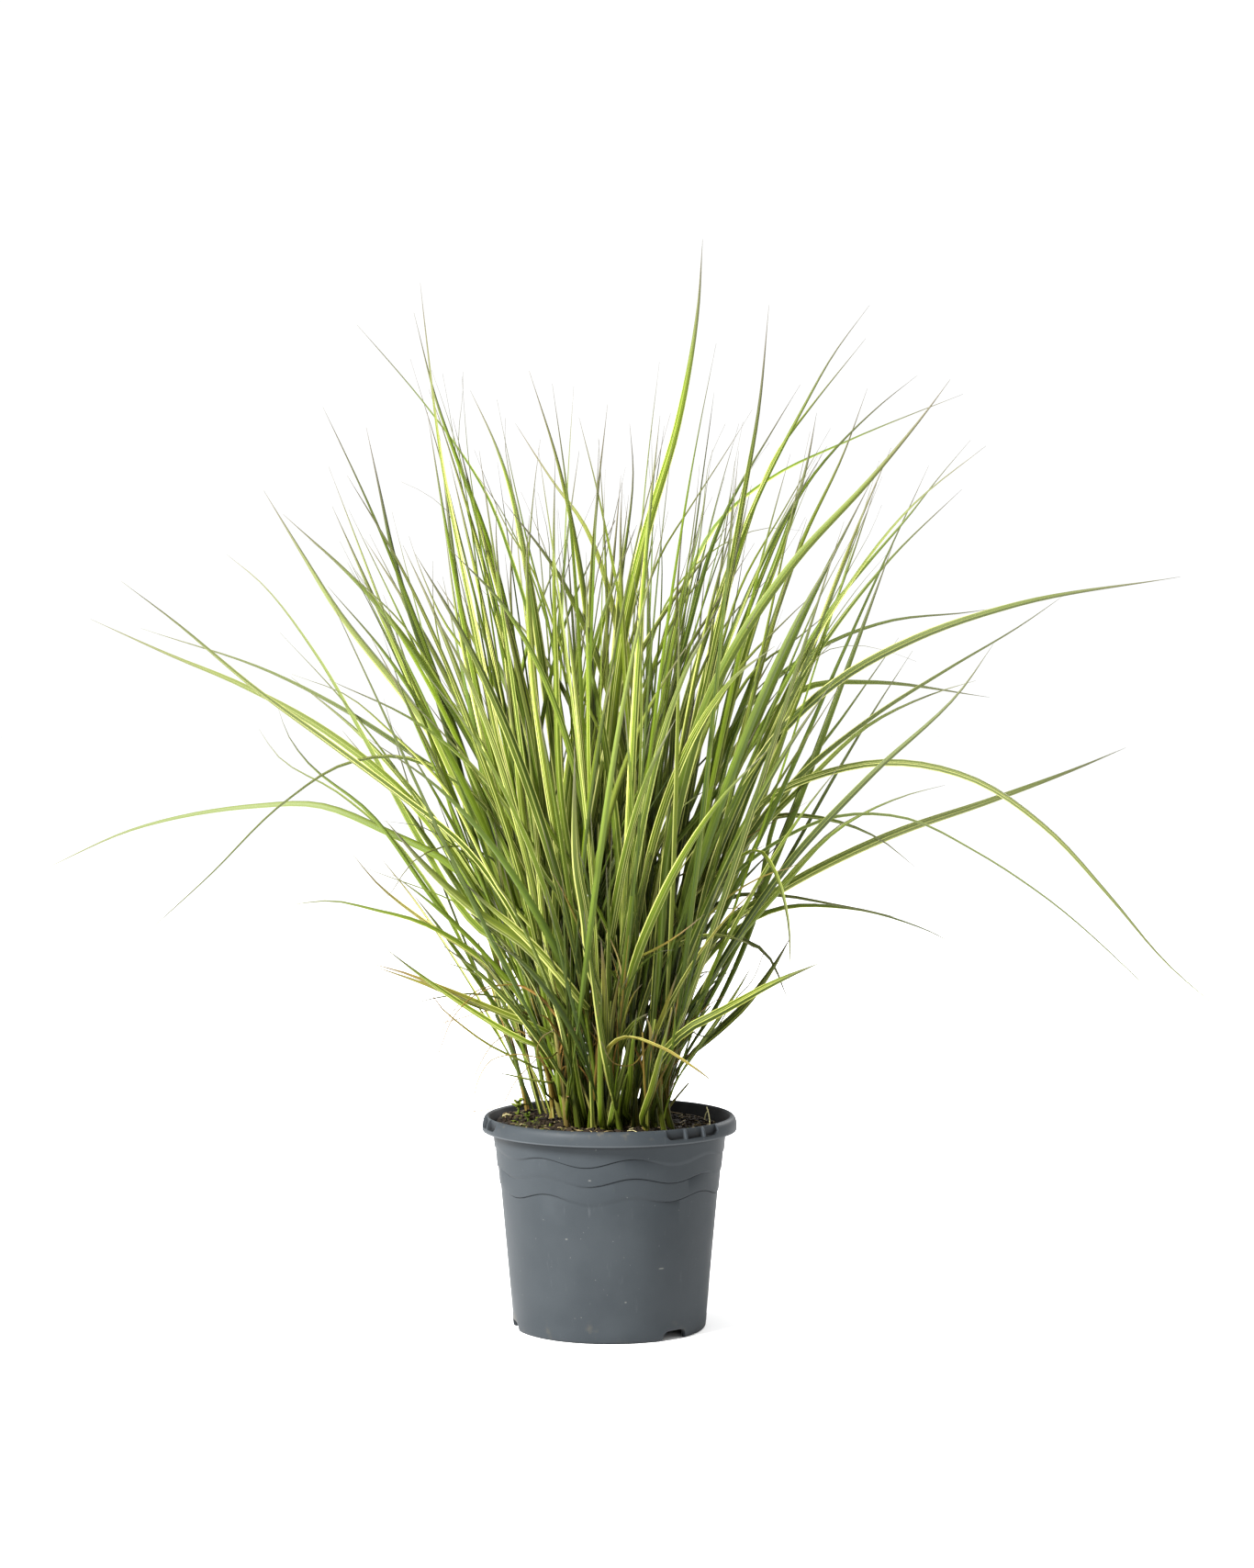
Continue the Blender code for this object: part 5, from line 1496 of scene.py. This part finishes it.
def build_crumbs(settings):
    """Loose crumbs, moss flecks, grit, pale fibres, straw and stubs on the soil."""
    dice = random.Random(CRUMB_SEED)
    shape = bmesh.new()
    mark = shape.verts.layers.float_vector.new("crumb")
    strew_crumbs(shape, mark, settings.crumbs, dice)
    strew_fibres(shape, mark, settings.fibres, dice)
    for tint, width, spots in drawn_lines(LITTER):
        points = smooth_path([on_soil(*spot) for spot in spots], 10)
        strip(shape, mark, points, float(width) * MM / 2, 0.35 * MM, float(tint))
    for column, row, aside, rise in STUBS:
        foot = on_soil(column, row)
        bend, tip = Vector((aside * 0.3, 0, rise * 0.6)) * MM, Vector((aside, 0, rise)) * MM
        strip(shape, mark, smooth_path([foot, foot + bend, foot + tip], 10), 0.6 * MM, 0.4 * MM, 1.3)
    piece = add_object("soil_crumbs", shape_of("soil crumbs", shape), crumb_material(settings))
    stand_for(piece, "soil")


# Shoots

# Where traced blades start: those above HIGH_ROW are carried on down to TUFT_ROW, between the
# columns where the tuft stands, and leave a stem at the first shares, the others at the second
HIGH_ROW = 1050
TUFT_ROW = 1105
TUFT_COLUMNS = (548, 742)
HIGH_SHARES = (0.82, 1.0)
LOW_SHARES = (0.16, 0.25, 0.35, 0.5, 0.65, 0.8, 0.95)
THREAD_WIDTH = 1.6 * MM
CULM_RINGS = 26
SIDE_CULMS = 3
SIDE_TIP_RADIUS = 0.6 * MM
BOX_ROOM = 8 * MM
LEAF_TRIES = 12
FAR_LEAN = math.radians(30)


def filler_leaf(stem, dice):
    """Control points of a further blade: it leaves the stem, straightens up, then bends outwards."""
    share = dice.uniform(0.45, 1.0)
    start, below = point_along(stem, share), point_along(stem, share - 0.14)
    along = (start - below).normalized()
    away = Vector((start.x - CLUMP_X, start.y))
    outward = compass(math.atan2(away.y, away.x) + dice.gauss(0, 1.1))
    lean = math.radians(abs(dice.gauss(0, 6.5)) + 1)
    droop = math.radians(dice.gauss(5, 10))
    length = (dice.uniform(160, 480) if dice.random() < 0.55 else dice.uniform(330, 500)) * MM
    upright = (along * 0.75 + Vector((0, 0, 0.25))).normalized()
    points = [below, start]
    steps = 6
    for i in range(steps):
        t = (i + 1) / steps
        tilt = lean * min(1, 2 * t) + droop * t**2
        heading = along.lerp(upright, min(1, 1.6 * t)).normalized()
        heading = (heading * math.cos(tilt) + outward * math.sin(tilt)).normalized()
        points.append(points[-1] + heading * (length / steps))
    return points


def low_leaf(stem, dice):
    """Control points of a short lower leaf that leans out early and droops."""
    start = point_along(stem, dice.uniform(0.3, 0.85))
    turn = math.atan2(start.y, start.x - CLUMP_X) + dice.gauss(0, 0.9)
    share, length = dice.uniform(0.3, 0.85), dice.uniform(60, 210) * MM
    lean, droop = math.radians(dice.uniform(2, 26)), math.radians(dice.gauss(20, 24))
    return grown_leaf(stem, share, length, turn, lean, droop)


def inside_box(points):
    """Whether the points stay near enough to the solids' box."""
    low, high = CAD_BOX
    return all(low[axis] - BOX_ROOM < point[axis] < high[axis] + BOX_ROOM
               for point in points for axis in range(3))


def variegation(dice):
    """How striped a blade is: many hardly, some clearly, a few boldly."""
    roll = dice.random()
    if roll < 0.45:
        return dice.uniform(0, 0.3)
    if roll < 0.84:
        return dice.uniform(0.35, 0.65)
    return dice.uniform(0.7, 1)


def sheet_spot(point):
    """Column and row at which the front view shows the point."""
    flat = EYE + (point - EYE) * (EYE.y / (EYE.y - point.y))
    return SHEET_AXIS + flat.x / SHEET_STEP, SHEET_FLOOR - flat.z / SHEET_STEP


def best_stem(stems, blades, column, row, high):
    """Number of the stem that a blade drawn from there leaves best, and the share of it where.

    Near stems are best, then those with fewer blades, then those in front.
    """
    choices = []
    for n, stem in enumerate(stems):
        for share in HIGH_SHARES if high else LOW_SHARES:
            x, y = sheet_spot(point_along(stem, share))
            behind = max(0, stem[-1].y) / MM
            off = abs(x - column) + (0.15 if high else 1) * abs(y - row)
            choices.append((off + 6 * len(blades[n]) + 0.35 * behind, n, share))
    return min(choices)[1:]


def traced_blades():
    """The traced blades by the number of the shoot that each leaves: (width, control points, kind)."""
    dice = random.Random(TRACED_SEED)
    stems = [stem for _, stem, _ in clump()]
    blades = [[] for _ in stems]
    for kind, width, path in drawn_lines(TRACED_BLADES):
        (column, row), (next_column, next_row) = path[:2]
        high = row < HIGH_ROW
        if high:
            column += (column - next_column) * (TUFT_ROW - row) / (row - next_row)
            column = min(TUFT_COLUMNS[1], max(TUFT_COLUMNS[0], column))
            row = TUFT_ROW
        n, share = best_stem(stems, blades, column, row, high)
        change = dice.uniform(-110, 60) * MM if high else dice.uniform(-70, -15) * MM
        depths = (change, dice.uniform(0.8, 1.6), dice.uniform(-8, 2) * MM)
        fresh, stripes, *dry = BLADE_KINDS[kind]
        look = (fresh + dice.uniform(-0.09, 0.09), min(1, stripes * dice.uniform(0.75, 1.2)), *dry)
        blades[n].append((float(width) * MM, drawn_leaf(stems[n], share, path, depths), look))
    return blades


def side_culm(stem, dice):
    """A thinner stem that rises beside the main one and parts from it a little."""
    turn = math.atan2(-stem[0].y, -stem[0].x + CLUMP_X) + dice.uniform(-1.6, 1.6)
    aside = compass(turn) * dice.uniform(2.5, 5.5) * MM
    top = dice.uniform(0.6, 1.15)
    spread = dice.uniform(0.5, 7.5)
    points = []
    for share in (0.02, 0.3, 0.65, 1.0):
        spot = stem[0].lerp(stem[-1], share * top) if top * share > 1 else point_along(stem, share * top)
        points.append(spot + aside * (1 - spread * share**1.5))
    return smooth_path(points, 3)


def add_culm(blades, stem, base, tip, number, dice):
    """A round stem with faint swellings along it, red brown low down."""
    path = smooth_path(stem, CULM_RINGS)
    heights = np.array([point.z for point in path])
    rise, most = dice.uniform(14, 52) * MM, dice.uniform(0.0, 0.75)
    red = np.clip(1.1 - (heights - SOIL_TOP) / rise, 0, 1) * most
    share = np.linspace(0, 1, len(path))
    swelling = 1 + 0.2 * ((share * 3.4 + number * 0.37) % 1 - 0.5)
    fresh = dice.uniform(0.8, 1.2) if dice.random() < 0.4 else dice.uniform(0.0, 0.4)
    kind = (fresh, dice.uniform(0.0, 0.9), dice.choice((0, 0, 0, 0, 0.5)), 0.1)
    blades.stem(path, (base + (tip - base) * share) * swelling, kind, red)


def add_own_leaves(blades, name, leaves, settings, rolls, dice):
    """The leaves that the shoot's solid has too."""
    for k, (width, points) in enumerate(leaves):
        roll, twist = rolls.uniform(-0.7, 0.7), rolls.uniform(-1.0, 1.0)
        dry = FADING_LEAVES.get((name, k), (0.0, dice.choice((0.0, 0.0, 0.0, 0.15))))
        kind = (dice.uniform(0.05, 0.85), dice.uniform(0.0, 0.72), *dry)
        blades.leaf(points, width, roll, twist, kind, settings.thickness)


def add_traced(blades, traced, settings, dice):
    """The blades traced from the front view, the finest as round threads."""
    for width, points, look in traced:
        roll, twist = dice.uniform(-0.5, 0.5), dice.uniform(-0.8, 0.8)
        if width < THREAD_WIDTH:
            blades.thread(points, width, look)
        else:
            blades.leaf(points, width, roll, twist, look, settings.thickness)


def add_further(blades, stems, settings, dice):
    """Blades that fill the clump, fewer where the shoot leans far out, and a few short low ones."""
    tilt = (stems[0][-1] - stems[0][1]).angle(Vector((0, 0, 1)))
    leaning = min(1, tilt / FAR_LEAN)
    wanted = round(settings.fill * (3.8 - 3.4 * leaning))
    for k in range(wanted + round(2.7 - 1.2 * leaning)):
        low = k >= wanted
        for _ in range(LEAF_TRIES):
            points = low_leaf(dice.choice(stems), dice) if low else filler_leaf(stems[k % len(stems)], dice)
            if inside_box(points):
                break
        else:
            continue
        dry = (0.0, dice.choice((0.0, 0.0, 0.0, 0.0, 0.15, 0.6 if low else 0.0)))
        fresh = dice.uniform(0, 0.5) if low else dice.random()
        least, more = (2.4, 4.0) if low else (2.6, 4.8)
        width = (least + more * dice.random() ** 1.4) * MM
        roll, twist = dice.uniform(-1.6, 1.6), dice.uniform(-0.8, 0.8)
        blades.leaf(points, width, roll, twist, (fresh, variegation(dice), *dry), settings.thickness)


def build_shoots(settings):
    """Each shoot's stems, its own leaves and its further blades, as one piece over its solid."""
    material = leaf_material(settings)
    rolls = random.Random(ROLL_SEED)
    dice = random.Random(SHOOT_SEED)
    shoots = zip(clump(), traced_blades())
    for number, ((name, stem, leaves), traced) in enumerate(shoots, start=1):
        blades = Blades()
        add_culm(blades, stem, STEM_RADIUS, STEM_TIP_RADIUS, number, dice)
        add_own_leaves(blades, name, leaves, settings, rolls, dice)
        add_traced(blades, traced, settings, dice)
        stems = [stem]
        for _ in range(SIDE_CULMS):
            stems.append(side_culm(stem, dice))
            radius = dice.uniform(0.9, 1.6) * MM
            add_culm(blades, stems[-1], radius, SIDE_TIP_RADIUS, number + 0.5, dice)
        add_further(blades, stems, settings, dice)
        piece = add_object(f"reed_{number:02d}", blades.mesh(f"reed {number}"), material)
        stand_for(piece, "grass", f"shoot_{number:02d}")


def build_shreds(settings):
    """Dry sheath shreds, thin threads and straw low among the stems."""
    dice = random.Random(SHRED_SEED)
    blades = Blades()
    stems = [stem for _, stem, _ in clump()]
    steps = 4
    for _ in range(settings.shreds):
        stem = dice.choice(stems)
        share = dice.uniform(0.25, 0.85)
        start = point_along(stem, share)
        rise = (start - point_along(stem, share - 0.1)).normalized()
        outward = compass(dice.uniform(0, 2 * math.pi))
        length = dice.uniform(18, 70) * MM
        bend = 0.15 + 1.5 * dice.random() ** 2
        points = [start, start + rise * 4 * MM]
        for i in range(steps):
            tilt = bend * (i + 1) / steps
            heading = rise * math.cos(tilt) + outward * math.sin(tilt)
            heading += Vector([dice.uniform(-0.12, most) for most in (0.12, 0.12, 0.05)])
            points.append(points[-1] + heading.normalized() * length / steps)
        if min(point.z for point in points) < SOIL_TOP or not inside_box(points):
            continue
        kind = (dice.random(), 0.2, dice.uniform(0.6, 1.1), 1.1)
        width = (0.6 + 3 * dice.random() ** 2) * MM
        roll, twist = dice.uniform(-2, 2), dice.uniform(-2, 2)
        blades.leaf(points, width, roll, twist, kind, 0.15 * MM, rings=14)
    piece = add_object("dry_shreds", blades.mesh("dry shreds"), leaf_material(settings))
    piece.data.materials[0].name = "dry sheath"
    stand_for(piece, "grass")


# The weed beside the clump: x and y of its foot in mm and its size, then those of its sprout
SEEDLINGS = ((-69, 24, 1.25), (-61, -4, 0.7))
SEEDLING_LEAVES = 8


def build_seedling(settings):
    """The weed seedling at the left of the soil, with small rounded leaves, and a sprout beside it."""
    blades = Blades()
    dice = random.Random(SEEDLING_SEED)
    for x, y, size in SEEDLINGS:
        foot = Vector((x * MM, y * MM, soil_height(x * MM, y * MM)))
        middle, top = (foot + Vector(rise) * MM * size for rise in ((0.5, 0, 4), (0.2, -0.4, 8)))
        stalk = smooth_path([foot, middle, top], 8)
        radii = np.linspace(0.7, 0.5, len(stalk)) * MM * size
        blades.stem(stalk, radii, (0.9, 0.1, 0, 0), np.zeros(len(stalk)))
        for k in range(SEEDLING_LEAVES):
            out = compass(math.radians(20 + 90 * (k % 4) + 25 * (k // 4)))
            start = point_along(stalk, 0.45 + 0.5 * (k // 2) / 3.2)
            length = (6.2 - 0.35 * k) * MM * size
            points = [start] + [start + out * length * reach + Vector((0, 0, rise)) * MM * size
                                for reach, rise in ((0.3, 1.0), (0.7, 1.9), (1.0, 1.7))]
            kind = (dice.uniform(0.9, 1.1), 0.55, 0, 0)
            blades.leaf(points, 3.8 * MM * size, 1.57, 0.0, kind, 0.2 * MM, rings=10)
    piece = add_object("weed_seedling", blades.mesh("weed seedling"), leaf_material(settings))
    piece.data.materials[0].name = "seedling leaf"
    stand_for(piece, "seedling", "seedling")


# Stage

FLOOR_REACH = 14
FLOOR_DROP = 0.4 * MM
LIGHT_AIM = Vector((0, 0, 0.35))
KEY_PLACE, KEY_SIZE = (-2.3, -1.9, 2.3), 1.3
BACK_PLACE, BACK_SIZE = (2.0, 2.6, 2.0), 1.8
LENS = 79.2
SENSOR_WIDTH = 36
TILTED_DOWN = 2.6


def soft_light(name, place, size, power):
    """A round soft light there, turned to the plant."""
    data = bpy.data.lights.new(name, "AREA")
    data.shape = "DISK"
    data.size = size
    data.energy = power
    made = add_object(name, data)
    made.location = place
    made.rotation_euler = (LIGHT_AIM - Vector(place)).to_track_quat("-Z", "Y").to_euler()


def build_stage(settings):
    """The pale floor, the white surroundings, two soft lights and the camera."""
    shape = bmesh.new()
    bmesh.ops.create_grid(shape, x_segments=1, y_segments=1, size=FLOOR_REACH)
    floor = add_object("floor", shape_of("floor", shape), floor_material(settings))
    floor.location.z = -FLOOR_DROP
    scene = bpy.context.scene
    scene.world = bpy.data.worlds.new("white studio")
    scene.world.use_nodes = True
    backdrop = scene.world.node_tree.nodes["Background"]
    backdrop.inputs["Color"].default_value = (1, 1, 1, 1)
    backdrop.inputs["Strength"].default_value = settings.daylight
    soft_light("key softbox", KEY_PLACE, KEY_SIZE, settings.key)
    soft_light("back softbox", BACK_PLACE, BACK_SIZE, settings.back)
    data = bpy.data.cameras.new("camera")
    data.lens = LENS
    data.sensor_width = SENSOR_WIDTH
    scene.camera = add_object("camera", data)
    scene.camera.location = EYE
    scene.camera.rotation_euler = (math.radians(90 - TILTED_DOWN), 0, 0)
    scene.view_settings.view_transform = "Standard"


# Operators

class BuildPot(bpy.types.Operator):
    """Mould the nursery pot with its rim pockets, wavy ledges and foot notches"""
    bl_idname = "reed_grass.build_pot"
    bl_label = "Pot"
    bl_options = {"REGISTER", "UNDO"}

    def execute(self, context):
        build_pot(context.scene.reed_pot)
        return {"FINISHED"}


class BuildSoil(bpy.types.Operator):
    """Fill the pot with peat and strew crumbs and fibres on it"""
    bl_idname = "reed_grass.build_soil"
    bl_label = "Soil"
    bl_options = {"REGISTER", "UNDO"}

    def execute(self, context):
        build_soil(context.scene.reed_soil)
        build_crumbs(context.scene.reed_soil)
        return {"FINISHED"}


class GrowShoots(bpy.types.Operator):
    """Grow every shoot of the clump with all its blades"""
    bl_idname = "reed_grass.grow_shoots"
    bl_label = "Shoots"
    bl_options = {"REGISTER", "UNDO"}

    def execute(self, context):
        build_shoots(context.scene.reed_leaves)
        return {"FINISHED"}


class GrowShreds(bpy.types.Operator):
    """Add the dry sheath shreds and threads low among the stems"""
    bl_idname = "reed_grass.grow_shreds"
    bl_label = "Dry shreds"
    bl_options = {"REGISTER", "UNDO"}

    def execute(self, context):
        build_shreds(context.scene.reed_leaves)
        return {"FINISHED"}


class GrowSeedling(bpy.types.Operator):
    """Grow the weed seedling at the edge of the soil"""
    bl_idname = "reed_grass.grow_seedling"
    bl_label = "Seedling"
    bl_options = {"REGISTER", "UNDO"}

    def execute(self, context):
        build_seedling(context.scene.reed_leaves)
        return {"FINISHED"}


class SetStage(bpy.types.Operator):
    """Set the pale floor, the soft light and the camera"""
    bl_idname = "reed_grass.set_stage"
    bl_label = "Stage"
    bl_options = {"REGISTER", "UNDO"}

    def execute(self, context):
        build_stage(context.scene.reed_stage)
        return {"FINISHED"}


class ReedPanel(bpy.types.Panel):
    """Lists the settings and the operators"""
    bl_idname = "VIEW3D_PT_reed_grass"
    bl_label = "Reed grass"
    bl_space_type = "VIEW_3D"
    bl_region_type = "UI"
    bl_category = "Reed grass"

    def draw(self, context):
        for label, group in SETTINGS.items():
            box = self.layout.box()
            settings = getattr(context.scene, label)
            for name in group.__annotations__:
                box.prop(settings, name)
        for operator in OPERATORS:
            self.layout.operator(operator.bl_idname)


SETTINGS = {"reed_pot": PotSettings, "reed_soil": SoilSettings, "reed_leaves": LeafSettings,
            "reed_stage": StageSettings}
OPERATORS = (BuildPot, BuildSoil, GrowShoots, GrowShreds, GrowSeedling, SetStage)


def register():
    for label, group in SETTINGS.items():
        bpy.utils.register_class(group)
        setattr(bpy.types.Scene, label, bpy.props.PointerProperty(type=group))
    for operator in OPERATORS:
        bpy.utils.register_class(operator)
    bpy.utils.register_class(ReedPanel)


def unregister():
    bpy.utils.unregister_class(ReedPanel)
    for operator in reversed(OPERATORS):
        bpy.utils.unregister_class(operator)
    for label, group in SETTINGS.items():
        delattr(bpy.types.Scene, label)
        bpy.utils.unregister_class(group)


def main():
    register()
    bpy.ops.reed_grass.build_pot()
    bpy.ops.reed_grass.build_soil()
    bpy.ops.reed_grass.grow_shoots()
    bpy.ops.reed_grass.grow_shreds()
    bpy.ops.reed_grass.grow_seedling()
    bpy.ops.reed_grass.set_stage()


if __name__ == "__main__":
    main()
